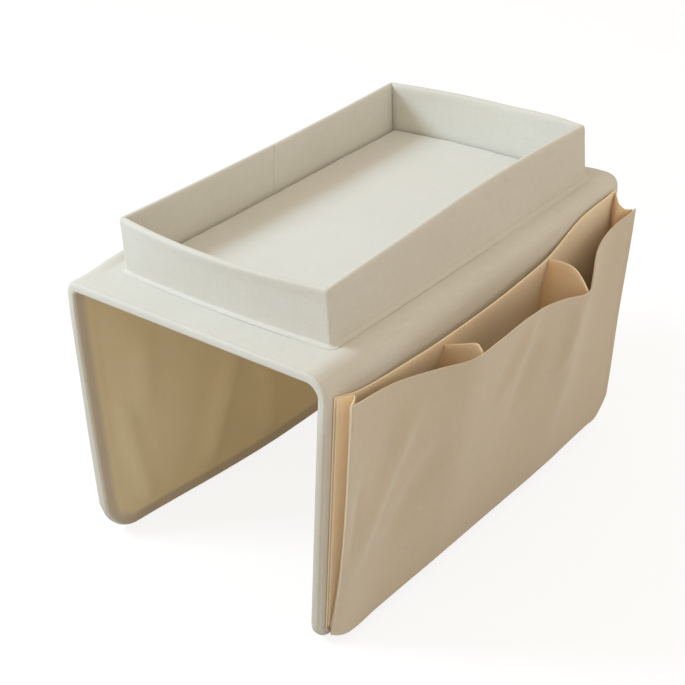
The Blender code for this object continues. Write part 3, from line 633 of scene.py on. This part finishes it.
def saddle_lining(name, side, distance, along, carrier, *bodies, blend=None):
    """A lining on a grid of distances round the saddle and places along it, of a side panel or of none."""
    rise, hem_grey_and_painted_shade = lining_rise(side, distance, along)
    points = on_saddle(distance, along, -PANEL / 2 + CLOTH / 2 - rise)
    piece = layer(name, points, stacked(distance, along), LINING, CLOTH, *bodies, blend=blend,
                  flip=side == "left", tinted=hem_grey_and_painted_shade)
    cloth_sheet(piece, "stretched", carrier)


def saddle_board(name, distance, along, body):
    """A board in the middle of the saddle, on such a grid."""
    layer(name, on_saddle(distance, along, 0.0), stacked(distance, along), PULP_BOARD, BOARD, body,
          flip=body == "left_panel")


def strip(start, end, rows, inset):
    """A grid between two distances round the saddle, from front to back."""
    return np.linspace(start, end, rows)[:, None], FACE_SHARES * (HALF_LENGTH - inset)


def saddle():
    """Top, folds and side panels: canvas, lining, and board where there is any.

    Each fold's ends on its inner side are worked out, but the fold is only fixed in place, on no body."""
    open_cover("top_cover", TOP_AT, RIGHT_FOLD_AT, 44, "saddle_top")
    top = strip(TOP_AT, RIGHT_FOLD_AT, 40, LINING_INSET)
    saddle_lining("top_lining", None, *top, "top_board", "saddle_top")
    saddle_board("top_board", *strip(TOP_AT + GAP, RIGHT_FOLD_AT - GAP, 12, BOARD_INSET), "saddle_top")
    folds = (
        ("left", LEFT_FOLD_AT, TOP_AT, LEFT_CENTRE, LEFT_RADIUS, math.pi),
        ("right", RIGHT_FOLD_AT, RIGHT_AT, RIGHT_CENTRE, RIGHT_RADIUS, -RIGHT_LEAN),
    )
    for side, start, end, (x, z), radius, turned in folds:
        bodies = "saddle_top", side + "_panel"
        inner, ends = radius - PANEL / 2, (math.pi / 2, turned)
        blend = [(x + inner * math.cos(angle), 0.0, z + inner * math.sin(angle)) for angle in ends]
        open_cover(side + "_fold_canvas", start, end, 25, *bodies, blend=blend)
        saddle_lining(side + "_fold_lining", None, *strip(start, end, 25, LINING_INSET), "top_board", *bodies,
                      blend=blend)
        panel_cover(side, bodies[1])
        saddle_lining(side + "_lining", side, *panel_grid(side, LINING_INSET), side + "_board", bodies[1])
        saddle_board(side + "_board", *panel_grid(side, BOARD_INSET), bodies[1])


# The tray: its plan carried up, over the rim and down the inside

TRAY_WALL = 4.2 * MM
TRAY_CORNER = 3.0 * MM
TRAY_BOW = 5.0 * MM  # how far the short walls belly out
RIM_RADIUS = 1.9 * MM
TRAY_BOARD = 2 * MM
TRAY_MIDDLE = (TRAY_LOW.y + TRAY_HIGH.y) / 2
TRAY_HALF_WIDTH = TRAY_HIGH.x
TRAY_HALF_LENGTH = (TRAY_HIGH.y - TRAY_LOW.y) / 2 - TRAY_BOW
TRAY_FOOT = TRAY_LOW.z
TRAY_TOP = TRAY_HIGH.z
SLIT = 0.9 * MM  # where the cloth of two walls meets in an inner corner
SEAM_PLACE = 7 * MM  # upright seam on the inside of the left wall
SEAM_SHARES = (SEAM_PLACE - TRAY_MIDDLE + np.linspace(-1.6, 1.6, 9) * MM) / (TRAY_HALF_LENGTH - TRAY_WALL)
LONG_SHARES = np.unique(np.concatenate([np.linspace(-1, 1, 49), SEAM_SHARES]))
SHORT_SHARES = np.linspace(-1, 1, 33)

# How the tray's walls give, in full at the rim
DRAW_IN, RIGHT_DRAW_IN = 3.2 * MM, 1.8 * MM  # the long walls between their corners, and more on the right
REAR_DRAW_IN, CORNER_LIFT = 3.0 * MM, 2.3 * MM  # the right wall towards its rear corner, inwards and up
RIM_BELLY, FOOT_BELLY = 3.0 * MM, 2.4 * MM  # the short walls' rims outwards, and the front one's foot inwards


def tray_plan(inset):
    """The tray's plan inside its outer face by an inset, anticlockwise from the front left corner.

    Long walls are straight and short ones belly out by a parabola. Corners are arcs whose radius shrinks with
    the inset. Inside, each corner has a slit, where the cloth of two walls meets."""
    radius = max(TRAY_CORNER - inset, 0.5 * MM)
    span, reach = TRAY_HALF_WIDTH - inset - radius, TRAY_HALF_LENGTH - inset
    turn = quarter(7)[1:-1]
    slit = SLIT * smooth(inset, 0.8 * TRAY_WALL, TRAY_WALL) * np.sin(2 * turn)
    belly = TRAY_BOW * (1 - SHORT_SHARES**2)
    sine, cosine = radius * np.sin(turn) + slit, radius * np.cos(turn) + slit
    front = np.column_stack([SHORT_SHARES * span, -reach - belly])
    front_right = np.column_stack([span + sine, radius - reach - cosine])
    right = np.column_stack([np.full_like(LONG_SHARES, span + radius), LONG_SHARES * (reach - radius)])
    rear_right = np.column_stack([span + cosine, reach - radius + sine])
    left = np.column_stack([-right[:, 0], right[::-1, 1]])
    plan = np.concatenate([front, front_right, right, rear_right, -front, -front_right, left, -rear_right])
    return plan + np.array([0.0, TRAY_MIDDLE])


PLAN = tray_plan(0.0)
PLAN_RUN = np.append(0.0, np.cumsum(np.linalg.norm(np.diff(PLAN, axis=0), axis=1)))
PLAN_LENGTH = PLAN_RUN[-1] + np.linalg.norm(PLAN[0] - PLAN[-1])
PLAN_TANGENT = np.roll(PLAN, -1, axis=0) - np.roll(PLAN, 1, axis=0)
PLAN_OUT = np.stack([PLAN_TANGENT[:, 1], -PLAN_TANGENT[:, 0]], axis=-1)
PLAN_OUT /= np.linalg.norm(PLAN_OUT, axis=1, keepdims=True)


def tray_lean(points):
    """How the walls give: the long rims draw in between the corners and the short ones belly out more.

    The shift grows with the height above the foot, to the power 1.5. The right wall gives more, also at its
    rear corner, where the rim stands higher. The front wall's foot bellies out less than the rear one's."""
    x, y, z = np.moveaxis(points, -1, 0)
    rise = np.clip((z - TRAY_FOOT) / (TRAY_TOP - TRAY_FOOT), 0, None) ** 1.5
    across, along = x / TRAY_HALF_WIDTH, (y - TRAY_MIDDLE) / TRAY_HALF_LENGTH
    right = smooth(across, 0.0, 0.9)
    draw_in = -(DRAW_IN * across + RIGHT_DRAW_IN * right) * (1 - np.clip(along**2, 0, 1)) * rise
    draw_in = draw_in - REAR_DRAW_IN * right * smooth(along, -0.4, 0.9) * (0.4 + 0.6 * rise)
    lift = CORNER_LIFT * smooth(across, 0.1, 0.8) * smooth(along, -0.6, 0.2) * rise
    belly = RIM_BELLY * along**3 * rise + FOOT_BELLY * np.clip(-along, 0, 1) ** 3 * (1 - rise)
    return points + np.stack([draw_in, belly * (1 - np.clip(across**2, 0, 1)), lift], axis=-1)


def round_tray(name, profile, swell, looped=False):
    """Canvas along a profile of insets and heights, carried round the tray's plan.

    The swell is how far each point stands out. A looped profile's end joins its start."""
    points = np.stack([np.column_stack([tray_plan(inset), np.full(len(PLAN), z)]) for inset, z in profile])
    points[..., :2] += swell[..., None] * PLAN_OUT
    run = np.append(0.0, np.cumsum(np.hypot(*np.diff(profile, axis=0).T)))
    at = closed(numbered(points))
    faces = quads(np.vstack([at, at[:1]]) if looped else at, flip=True)
    return add_piece(name, tray_lean(points), faces, stacked(PLAN_RUN, run[:, None]), CANVAS, "saddle_top",
                     around=PLAN_LENGTH)


def tray_wall_cover():
    """Canvas up the outside, over the rounded rim and down the inside, with a seam on the inner left wall."""
    turn = quarter(7)
    shoulder = TRAY_TOP - RIM_RADIUS
    height = np.linspace(TRAY_FOOT, shoulder, 22)[:-1]
    sine, cosine = RIM_RADIUS * np.sin(turn), RIM_RADIUS * np.cos(turn)
    insets = [0 * height, RIM_RADIUS - cosine, TRAY_WALL - RIM_RADIUS + sine, TRAY_WALL + 0 * height]
    heights = [height, shoulder + sine, shoulder + cosine, height[::-1]]
    profile = np.column_stack([np.concatenate(insets), np.concatenate(heights)])
    inset, z = profile[:, :1], profile[:, 1:]
    side = 1 - 2 * smooth(inset, 0.0, TRAY_WALL)  # 1 on the outer face, -1 on the inner
    waves = 0.2 * MM * ripple(PLAN_RUN, z * 2, 60 * MM, 5) + 0.1 * MM * ripple(PLAN_RUN, z, 20 * MM, 6)
    swell = side * (1 - smooth(z, shoulder - 6 * MM, TRAY_TOP)) * waves
    roll = 0.25 * MM * bell(z, TRAY_TOP - 4 * MM, 3 * MM) * side
    inner_left = smooth(inset, 0.8 * TRAY_WALL, TRAY_WALL) * (PLAN[:, 0] < -0.9 * TRAY_HALF_WIDTH)
    behind = PLAN[:, 1] - SEAM_PLACE
    lap = 0.45 * MM * smooth(behind, -0.4 * MM, 0.4 * MM) * (1 - smooth(behind, 0.0, 50 * MM))
    groove = 0.4 * MM * bell(behind, -0.7 * MM, 0.5 * MM)
    piece = round_tray("tray_wall_cover", profile, swell + roll + inner_left * (groove - lap))
    boards = [f"tray_{wall}_board" for wall in ("left", "right", "front", "rear")]
    thicken(cloth_sheet(piece, "stretched", *boards), CLOTH)


def tray_foot_welt():
    """The seam allowance round the foot: from the wall it curves out to a soft ridge, a little uneven."""
    start = 0.3 * MM  # inside the wall's outer face
    reach = WELT_HIGH.x - TRAY_HALF_WIDTH + 2 * start
    height = WELT_HIGH.z - WELT_LOW.z
    edge, low = 0.1 * height, WELT_LOW.z - GAP / 2
    out, turn = np.linspace(0, 1, 9), np.linspace(math.pi / 2, -math.pi / 2, 7)[1:]
    slope = np.column_stack([start - reach * out**2, low + 2 * edge + 2.1 * height * (1 - out) ** 1.6])
    rim = np.column_stack([start - reach - edge * np.cos(turn), low + edge * (1 + np.sin(turn))])
    profile = np.concatenate([slope, rim, [[start, low + GAP / 2]]])
    swell = 0.25 * MM * ripple(PLAN_RUN, 0 * PLAN_RUN, 9 * MM, 11) * np.ones((len(profile), 1))
    round_tray("tray_foot_welt", profile, swell, looped=True)


def tray_board(side, middle):
    """One wall's board, from the points of its middle."""
    places = np.stack([middle[..., 0] + middle[..., 1], middle[..., 2]], axis=-1)
    layer(f"tray_{side}_board", tray_lean(middle), places, PULP_BOARD, TRAY_BOARD, "saddle_top", flip=True)


def tray_boards():
    """A board inside each wall: a grid up the wall's middle, following its belly and its lean."""
    depth = TRAY_WALL / 2
    height = np.linspace(TRAY_FOOT, TRAY_TOP - CLOTH - GAP, 12)[:, None]
    reach = TRAY_HALF_LENGTH - TRAY_WALL - GAP
    for name, sign in (("left", -1), ("right", 1)):
        along = TRAY_MIDDLE + sign * np.linspace(-reach, reach, 40)
        tray_board(name, stacked(sign * (TRAY_HALF_WIDTH - depth), along, height))
    reach = TRAY_HALF_WIDTH - TRAY_WALL
    for name, sign in (("front", -1), ("rear", 1)):
        across = sign * np.linspace(reach, -reach, 30)
        belly = TRAY_BOW * (1 - (across / (TRAY_HALF_WIDTH - TRAY_CORNER)) ** 2)
        tray_board(name, stacked(across, TRAY_MIDDLE + sign * (TRAY_HALF_LENGTH - depth + belly), height))


def tray_insert():
    """The loose floor: a thin board in canvas, which is turned under its edges and puckers a little there."""
    middle_y = (INSERT_LOW.y + INSERT_HIGH.y) / 2
    half_width, half_length = INSERT_HIGH.x, (INSERT_HIGH.y - INSERT_LOW.y) / 2 - TRAY_BOW
    thickness = INSERT_HIGH.z - INSERT_LOW.z
    edge, hem, skin = 1.2 * MM, 10 * MM, 0.5 * MM
    to_right = 0.5 * MM  # it lies a little to the right
    u = np.concatenate([[-1, -0.985], np.linspace(-0.96, 0.96, 50), [0.985, 1]])[:, None]
    v = np.concatenate([[-1, -0.99], np.linspace(-0.97, 0.97, 80), [0.99, 1]])

    def plan(u, v, inset):
        """Places in the floor's plan: u across, v along, both from -1 to 1 at an inset from the edge."""
        x = to_right + u * (half_width - to_right - inset)
        return np.broadcast_arrays(x, middle_y + v * (half_length + TRAY_BOW * (1 - u**2) - inset))

    def placed(x, y, z):
        """Points with the edge's slight waviness."""
        wave = 0.35 * MM * ripple(x, y, 35 * MM, 14)
        return tray_lean(stacked(x * (1 + wave / half_width), y + wave * np.sign(y - middle_y), z))

    x, y = plan(u, v, edge)
    inwards = np.minimum(half_width - np.abs(x), half_length - np.abs(y - middle_y))
    pucker = 0.25 * MM * ripple(x, y, 12 * MM, 15) * (1 - smooth(inwards, 0.0, 14 * MM))
    face = placed(x, y, INSERT_HIGH.z + 0.3 * MM * ripple(x, y, 90 * MM, 16) + pucker)
    ring = border(face)
    on_face = u, v, face[..., 2] - INSERT_HIGH.z
    ring_u, ring_v, raised = (np.broadcast_to(values, x.shape).ravel()[ring] for values in on_face)
    turn, under = quarter(5), np.linspace(hem, edge, 4)[:-1]
    insets = np.concatenate([under, edge * (1 - np.sin(turn)), edge * (1 - np.cos(turn))[:-1]])[:, None]
    upper = thickness - edge * (1 - np.sin(turn))[:-1]
    depths = np.concatenate([0 * under, edge * (1 - np.cos(turn)), upper])[:, None]
    rings = placed(*plan(ring_u, ring_v, insets), INSERT_LOW.z + depths * (1 + raised / thickness))
    points, faces = with_rings(face, rings, ring, flip=False, joined=True)
    cover = add_piece("insert_cover", points, faces, points[:, :2], INSERT_CANVAS, "tray_insert")
    thicken(cloth_sheet(cover, "stretched", "insert_board"), skin)
    middle = stacked(*plan(u, v, skin + GAP + 0.2 * MM), (INSERT_LOW.z + INSERT_HIGH.z) / 2)
    layer("insert_board", tray_lean(middle), middle[..., :2], PULP_BOARD, 1.3 * MM, "tray_insert")


# The pocket, in the right panel's frame: x outwards from the panel's middle, y along it, z up from its fold

OUTER_FACE = PANEL / 2
BACK_SHEET_X = OUTER_FACE + GAP + CLOTH / 2
SHEET_START = CLOTH + 2 * GAP  # reach of the foot's seam from the panel's outer face
POCKET_FOOT = -(FOLD_PLACE[2] - BOTTOM - PANEL / 2 * LEAN_SIN) / LEAN_COS + 4.5 * MM
POCKET_TOP = 3.5 * MM
POCKET_HEIGHT = POCKET_TOP - POCKET_FOOT
POCKET_FRONT = -HALF_LENGTH + 6.2 * MM
POCKET_REAR = HALF_LENGTH - 1.2 * MM
POCKET_LENGTH = POCKET_REAR - POCKET_FRONT
MOUTH_DEPTH = 35 * MM
MOUTH_DIP = 16.5 * MM
FOOT_DEPTH = 11.5 * MM
FOOT_RADIUS = 5 * MM
FRONT_CORNER = 4 * MM
REAR_CORNER = 19 * MM
EDGE_WAVE = 10.5 * MM
MOUTH_HEM = 8 * MM
REACH = 30 * MM  # from the back sheet to the front one, about, for the spacing of points
PLEAT_CLOTH = 40 * MM  # cloth across a pleated end

# Shares of the pocket's length, from its front end, each with a share of the value that is named
MOUTH_DEPTH_SHARES = (
    (0.00, 0.37), (0.12, 0.30), (0.19, 0.40), (0.24, 0.60), (0.30, 0.93), (0.36, 0.96), (0.44, 0.90),
    (0.52, 0.84), (0.60, 0.91), (0.69, 1.00), (0.74, 0.80), (0.81, 0.49), (0.88, 0.35), (1.00, 0.27),
)
MOUTH_DIP_SHARES = (
    (0.00, 0.00), (0.07, 0.27), (0.13, 0.45), (0.20, 0.57), (0.27, 0.48), (0.315, 0.30), (0.40, 0.32),
    (0.52, 0.46), (0.60, 0.67), (0.69, 1.00), (0.74, 0.76), (0.81, 0.57), (0.88, 0.39), (1.00, 0.32),
)
FOOT_DEPTH_SHARES = (
    (0.00, 0.32), (0.015, 0.92), (0.05, 1.10), (0.12, 1.05), (0.78, 1.00), (0.90, 0.88), (1.00, 0.80),
)
BACK_EDGE_SHARES = (
    (0.00, 0.00), (0.067, -0.50), (0.125, -0.65), (0.24, -0.62), (0.41, -0.69), (0.51, -0.64), (0.61, -0.45),
    (0.70, -0.42), (0.76, -0.15), (0.815, 0.28), (0.85, 0.44), (0.90, 0.50), (0.94, 0.50), (1.00, 0.46),
)
# How early the front sheet reaches its full depth on the way up: 1 is a straight slope
FULLNESS_SHARES = ((0.00, 3.6), (0.10, 2.2), (0.25, 1.3), (0.75, 1.3), (0.88, 2.6), (1.00, 7.0))
# Each divider: its place along the pocket, then its top edge as shares of its depth and of MOUTH_DIP
FRONT_DIVIDER_SHARES = (0.315, ((0.00, 0.72), (0.45, 0.38), (0.83, 0.09), (1.00, 0.30)))
REAR_DIVIDER_SHARES = (0.69, ((0.00, 0.30), (0.45, 0.13), (0.70, 0.25), (0.90, 0.68), (1.00, 1.00)))
# Soft creases of the front sheet: upper and lower end as share along and height, half width and how far out
CREASES = (
    ((0.20, 150 * MM), (0.04, 58 * MM), 8 * MM, 4.4 * MM),
    ((0.29, 120 * MM), (0.13, 45 * MM), 10 * MM, -3.2 * MM),
    ((0.51, 168 * MM), (0.42, 120 * MM), 7 * MM, 4.0 * MM),
    ((0.56, 150 * MM), (0.50, 90 * MM), 10 * MM, -2.6 * MM),
    ((0.665, 155 * MM), (0.66, 105 * MM), 6 * MM, 2.8 * MM),
    ((0.05, 120 * MM), (0.02, 60 * MM), 5 * MM, -2.0 * MM),
)
CREASE_FADE = (-0.2, 0.35, 0.65, 1.2)


def to_world(x, y, z, held=0.0):
    """Points of the right panel's frame: turned by the panel's lean about its fold line and placed there.

    What is held by the panel settles with it, in full where held is 1."""
    x, y, z, held = np.broadcast_arrays(x, y, z, held)
    out, up = FOLD_PLACE[0] + x * LEAN_COS + z * LEAN_SIN, FOLD_PLACE[2] - x * LEAN_SIN + z * LEAN_COS
    plain = np.stack([out, y, up], axis=-1)
    return plain + held[..., None] * (settle(plain) - plain)


def follow(table, share):
    """A smooth curve through a table's points: cubics with the slope between a point's neighbours."""
    x, y = np.array(table).T
    steps = np.diff(y) / np.diff(x)
    slope = np.concatenate([steps[:1], (y[2:] - y[:-2]) / (x[2:] - x[:-2]), steps[-1:]])
    at = np.clip(np.searchsorted(x, share) - 1, 0, len(x) - 2)
    width, rise = x[at + 1] - x[at], y[at + 1] - y[at]
    t = (share - x[at]) / width
    start, end = slope[at] * width, slope[at + 1] * width
    return y[at] + t * (start + t * (3 * rise - 2 * start - end + t * (start + end - 2 * rise)))


def rounded_in(height, radius, power=2.0):
    """How far a rounded lower corner draws an upright edge in, at a height above the foot.

    A power of 2 gives a quarter circle, a lower one a corner that is cut off more straight."""
    below = np.clip(1 - height / radius, 0.0, 1.0)
    return radius * (1 - (1 - below**power) ** (1 / power))


def pocket_y(share, height):
    """Place along the panel at a share of the pocket's length."""
    front = POCKET_FRONT + rounded_in(height, FRONT_CORNER)
    return front + (POCKET_REAR - rounded_in(height, REAR_CORNER, 1.3) - front) * share


def sheet_height(share):
    """Height of the front sheet's edge above the pocket's foot."""
    return POCKET_HEIGHT - MOUTH_DIP * follow(MOUTH_DIP_SHARES, share)


def sheet_reach(share, height):
    """The front sheet's distance from the panel's outer face, from the foot's out to the mouth's."""
    foot = FOOT_DEPTH * follow(FOOT_DEPTH_SHARES, share)
    mouth = MOUTH_DEPTH * follow(MOUTH_DEPTH_SHARES, share)
    left_over = 1 - np.clip(height / sheet_height(share), 0.0, 1.0)
    return foot + (mouth - foot) * (1 - left_over ** follow(FULLNESS_SHARES, share))


def back_edge(share):
    """Height of the back sheet's top edge: it sags between the dividers and stands up near the rear end."""
    return POCKET_HEIGHT + EDGE_WAVE * follow(BACK_EDGE_SHARES, share)


def back_place(share, height):
    """Where the back sheet is, out from the panel's middle and along it, by share of its length and height.

    Its top hangs off the panel, most before the rear divider, and its rear end is sewn on further in."""
    upper = smooth(height, POCKET_HEIGHT - 45 * MM, POCKET_HEIGHT)
    bulge = 1.2 * MM + 4.3 * MM * smooth(share, 0.06, 0.3) * (1 - smooth(share, 0.6, 0.8))
    off = bulge * upper * smooth(np.minimum(share, 1 - share), 0.0, 0.06)
    y = pocket_y(share, height) - 5 * MM * smooth(share, 0.85, 1.0) * upper
    return BACK_SHEET_X + 0.05 * MM + off, y


def pocket_sheet(name, x, y, height, held, thickness, places, material, how, *bodies,
                 gives_way=(), rests_on=("pocket_back_sheet",)):
    """A sheet of the pocket, from its middle's places in the panel's frame and their places on the cloth.

    Given depths where it would give way between the panel and the front sheet, it is only fixed in place, on
    no body."""
    points, faces = two_faced(to_world(x, y, POCKET_FOOT + height, held), thickness)
    places = np.tile(stacked(*places).reshape(-1, 2), (2, 1))
    ends = [to_world(out, 0.0, POCKET_FOOT) for out in gives_way]
    piece = add_piece("pocket_" + name, points, faces, places, material, *bodies, blend=ends)
    cloth_sheet(piece, how, *rests_on, faces=2)


def pocket_back_sheet():
    """The sheet sewn on the panel, with its top edge turned over."""
    share = span_with_ends(POCKET_LENGTH, 110, 0.5 * MM)
    rise = span_with_ends(POCKET_HEIGHT, 60, 0.5 * MM)[:, None]
    height = back_edge(share) * rise
    x, y = back_place(share, height)
    thickness = CLOTH * (1 + 0.6 * (rise > 0.96))
    pocket_sheet("back_sheet", x, y, height, 1.0, thickness, (y, height), POCKET_INNER_PAINTED_LIGHT, "hung",
                 "right_panel", rests_on=("right_cover",))


def pocket_front_sheet():
    """The front sheet: out along the foot, round it and up to the mouth, where its edge is turned over.

    Creases and slack push it in and out. The turned edge makes it twice as thick down to the hem's line."""
    share = span_with_ends(POCKET_LENGTH, 150, 1.0 * MM)
    foot = FOOT_DEPTH * follow(FOOT_DEPTH_SHARES, share)
    radius = np.minimum(FOOT_RADIUS, foot - SHEET_START - GAP)
    out = np.linspace(0, 1, 5)[:-1, None]
    turn = quarter(10)[:-1, None]
    rise = span_with_ends(POCKET_HEIGHT, 100, 1.0 * MM)[3:, None]
    rise = (rise - rise[0]) / (1 - rise[0])
    turn_z = radius * (1 - np.cos(turn))
    up_z = radius + (sheet_height(share) - radius) * rise
    along_foot = SHEET_START + (foot - radius - SHEET_START) * out
    round_foot = sheet_reach(share, turn_z) - radius * (1 - np.sin(turn))
    reach = np.concatenate([along_foot, round_foot, sheet_reach(share, up_z)])
    height = np.concatenate([0 * along_foot, turn_z, up_z])
    run = share * POCKET_LENGTH
    slack = 0.8 * MM * ripple(run, height, 90 * MM, 31) * smooth(height, 2 * FOOT_RADIUS, 60 * MM)
    for (high_share, high), (low_share, low), width, push in CREASES:
        ends = (low_share * POCKET_LENGTH, low), (high_share * POCKET_LENGTH, high)
        slack = slack + ridge(run, height, *ends, width, push, CREASE_FADE)
    below_edge = sheet_height(share) - height
    thickness = CLOTH * (1 + 0.9 * (1 - smooth(below_edge, MOUTH_HEM - 0.8 * MM, MOUTH_HEM + 0.4 * MM)))
    from_end = np.minimum(run, POCKET_LENGTH - run)
    thickness = np.maximum(thickness, CLOTH * (1 + 1.0 * (1 - smooth(from_end, 3 * MM, 4 * MM))))
    y = pocket_y(share, height)
    places = y, height + reach - foot
    pocket_sheet("front_sheet", OUTER_FACE + reach + slack, y, height, 0.0, thickness, places, POCKET_CLOTH,
                 "hung", "pocket_front")


BOTH_SHEETS = ("pocket_back_sheet", "pocket_front_sheet")
GIVES_WAY_FROM = 5 * MM


def pocket_gusset(end, share, inwards, pleat, gives_way_to):
    """A pleated end: two leaves from the back sheet to the front sheet, which meet in a rounded fold inside.

    The fold goes deeper further down, and its top keeps most of the back edge's height."""
    low = FOOT_RADIUS + 2 * CLOTH
    rise = span_with_ends(POCKET_HEIGHT, 40, 0.5 * MM)[:, None]
    across = span_with_ends(REACH, 26, 0.5 * MM)
    near_z = low + (back_edge(share) - CLOTH - low) * rise
    far_z = low + (sheet_height(share) - CLOTH - low) * rise
    near_x, near_y = back_place(share, near_z)
    near_x = near_x + CLOTH + GAP
    far_x = OUTER_FACE + sheet_reach(share, far_z) - CLOTH - 1.5 * GAP
    blunt = 0.10
    fold = (1 - np.sqrt((2 * across - 1) ** 2 + blunt**2)) / (1 - blunt)
    bend = 0.5 - 0.5 * np.cos(math.pi * across)
    x = near_x + (far_x - near_x) * (0.6 * across + 0.4 * bend)
    height = near_z + (far_z - near_z) * (0.4 * across + 0.6 * smooth(across, 0.35, 0.8))
    slack = 0.5 * MM * ripple(across * REACH, height, 30 * MM, 41 + inwards) * 4 * across * (1 - across)
    depth = pleat * (1 - 0.5 * rise**1.7) * np.maximum(fold, 0.0)
    end_y = near_y + (pocket_y(share, far_z) - near_y) * smooth(across, 0.0, 0.6)
    y = end_y + inwards * (CLOTH + depth + slack)
    places, gives_way = (across * PLEAT_CLOTH, height), (GIVES_WAY_FROM, gives_way_to)
    pocket_sheet(end + "_gusset", x, y, height, 1 - across, CLOTH, places, POCKET_INNER_PAINTED_LIGHT, "folded",
                 "right_panel", "pocket_front", gives_way=gives_way, rests_on=BOTH_SHEETS)


def pocket_divider(end, shares, bow):
    """A divider, square to the panel, from the back sheet to the front one, with a top edge of its own."""
    share, top_points = shares
    low = CLOTH + 2 * GAP
    across = span_with_ends(REACH, 26, 0.5 * MM)
    rise = span_with_ends(POCKET_HEIGHT, 50, 0.6 * MM)[:, None]
    top = POCKET_HEIGHT - MOUTH_DIP * follow(top_points, across)
    height = low + (top - low) * rise
    near = back_place(share, height)[0] + CLOTH / 2 + GAP
    far = OUTER_FACE + sheet_reach(share, np.maximum(height, FOOT_RADIUS)) - CLOTH - GAP
    far = far - rounded_in(height, FOOT_RADIUS)
    x = near + (far - near) * across
    y = pocket_y(share, POCKET_HEIGHT) + bow * np.sin(math.pi * across) * smooth(height, 0.0, POCKET_HEIGHT)
    thickness = CLOTH * (1 + 0.7 * smooth(height - top, -6.5 * MM, -6 * MM))
    pocket_sheet(end + "_divider", x, y, height, 1 - across, thickness, (x, height), POCKET_INNER_PAINTED_LIGHT, "hung",
                 "right_panel", "pocket_front", gives_way=(GIVES_WAY_FROM, 12 * MM), rests_on=BOTH_SHEETS)


def pocket():
    """Back sheet, front sheet, two pleated ends and two dividers."""
    pocket_back_sheet()
    pocket_front_sheet()
    pocket_gusset("front", 0.0, 1, 19.3 * MM, 9.0 * MM)
    pocket_gusset("rear", 1.0, -1, 20.5 * MM, 8.5 * MM)
    pocket_divider("front", FRONT_DIVIDER_SHARES, 1.5 * MM)
    pocket_divider("rear", REAR_DIVIDER_SHARES, -2.0 * MM)


# Camera, light and floor

WHITE = (1.0, 1.0, 1.0, 1.0)
WARM_WHITE = "#FFF0DD"


def camera():
    """The photograph's viewpoint, fitted to the object's corners: front right and above, rolled a little."""
    turn, tilt, roll = (math.radians(angle) for angle in (40.7026, -30.0350, 3.1279))
    look = Matrix.Rotation(turn, 3, "Z") @ Matrix.Rotation(tilt, 3, "X") @ Matrix.Rotation(roll, 3, "Y")
    right, forward, up = look.col
    eye = Matrix((right, up, -forward)).transposed().to_4x4()
    eye.translation = (0.58443, -0.70284, 0.44918)
    data = bpy.data.cameras.new("camera")
    data.sensor_width, data.lens = 36.0, 82.06
    made = bpy.data.objects.new("camera", data)
    made.matrix_world = eye
    bpy.context.scene.collection.objects.link(made)
    bpy.context.scene.camera = made


def lamp(name, direction, distance, size, power, colour):
    """A square soft lamp in a direction from the object, facing it."""
    data = bpy.data.lights.new(name, "AREA")
    data.size, data.energy, data.color = size, power, hex_colour(colour)[:3]
    made = bpy.data.objects.new(name, data)
    toward = np.array(direction) / np.linalg.norm(direction)
    side = np.cross((0.0, 0.0, 1.0), toward)
    side /= np.linalg.norm(side)
    made.matrix_world = Matrix(np.column_stack([side, np.cross(toward, side), toward]).tolist()).to_4x4()
    made.location = (toward * distance).tolist()
    bpy.context.scene.collection.objects.link(made)


def surroundings():
    """Warm even light from all round, with plain white for camera rays and reflections."""
    world = bpy.data.worlds.new("studio")
    bpy.context.scene.world = world
    world.use_nodes = True
    tree = world.node_tree
    tree.nodes.clear()
    path = node(tree, "LightPath", {}).outputs
    either = {"operation": "MAXIMUM", 0: path["Is Camera Ray"], 1: path["Is Glossy Ray"]}
    around = node(tree, "Background", {"Color": hex_colour(WARM_WHITE), "Strength": 0.68}, 0)
    white = node(tree, "Background", {"Color": WHITE, "Strength": 1.0}, 0)
    mix = node(tree, "MixShader", {0: node(tree, "Math", either, 0), 1: around, 2: white}, 0)
    node(tree, "OutputWorld", {"Surface": mix})


def white_floor():
    """Matt white paint that keeps a faint shadow: a camera ray also sees a steady glow."""
    half, low = 5.0, BOTTOM - 0.1 * MM
    corners = [(x * half, y * half, low) for x, y in ((-1, -1), (1, -1), (1, 1), (-1, 1))]
    mesh = bpy.data.meshes.new("floor")
    mesh.from_pydata(corners, [], [(0, 1, 2, 3)])
    floor = bpy.data.objects.new("floor", mesh)
    bpy.context.scene.collection.objects.link(floor)
    material = bpy.data.materials.new("white_floor")
    material.use_nodes = True
    tree = material.node_tree
    tree.nodes.clear()
    seen = node(tree, "LightPath", {}, "Is Camera Ray")
    paint = node(tree, "BsdfDiffuse", {"Color": (0.72, 0.72, 0.72, 1.0)}, 0)
    faint = node(tree, "BsdfDiffuse", {"Color": (0.2, 0.2, 0.2, 1.0)}, 0)
    glow = node(tree, "Emission", {"Color": WHITE, "Strength": 0.84}, 0)
    lifted = node(tree, "AddShader", {0: faint, 1: glow}, 0)
    mix = node(tree, "MixShader", {0: seen, 1: paint, 2: lifted}, 0)
    node(tree, "OutputMaterial", {"Surface": mix})
    mesh.materials.append(material)


def studio():
    """Soft key from the front left above, a weak fill from the right rear, light all round and the floor."""
    lamp("key", (-0.63, -0.49, 0.60), distance=1.7, size=0.55, power=21.4, colour="#D4EBFF")
    lamp("fill", (0.80, 0.25, 0.55), distance=0.7, size=0.5, power=0.38, colour=WARM_WHITE)
    surroundings()
    white_floor()
    bpy.context.scene.view_settings.view_transform = "Standard"


camera()
studio()
saddle()
tray_wall_cover()
tray_foot_welt()
tray_boards()
tray_insert()
pocket()
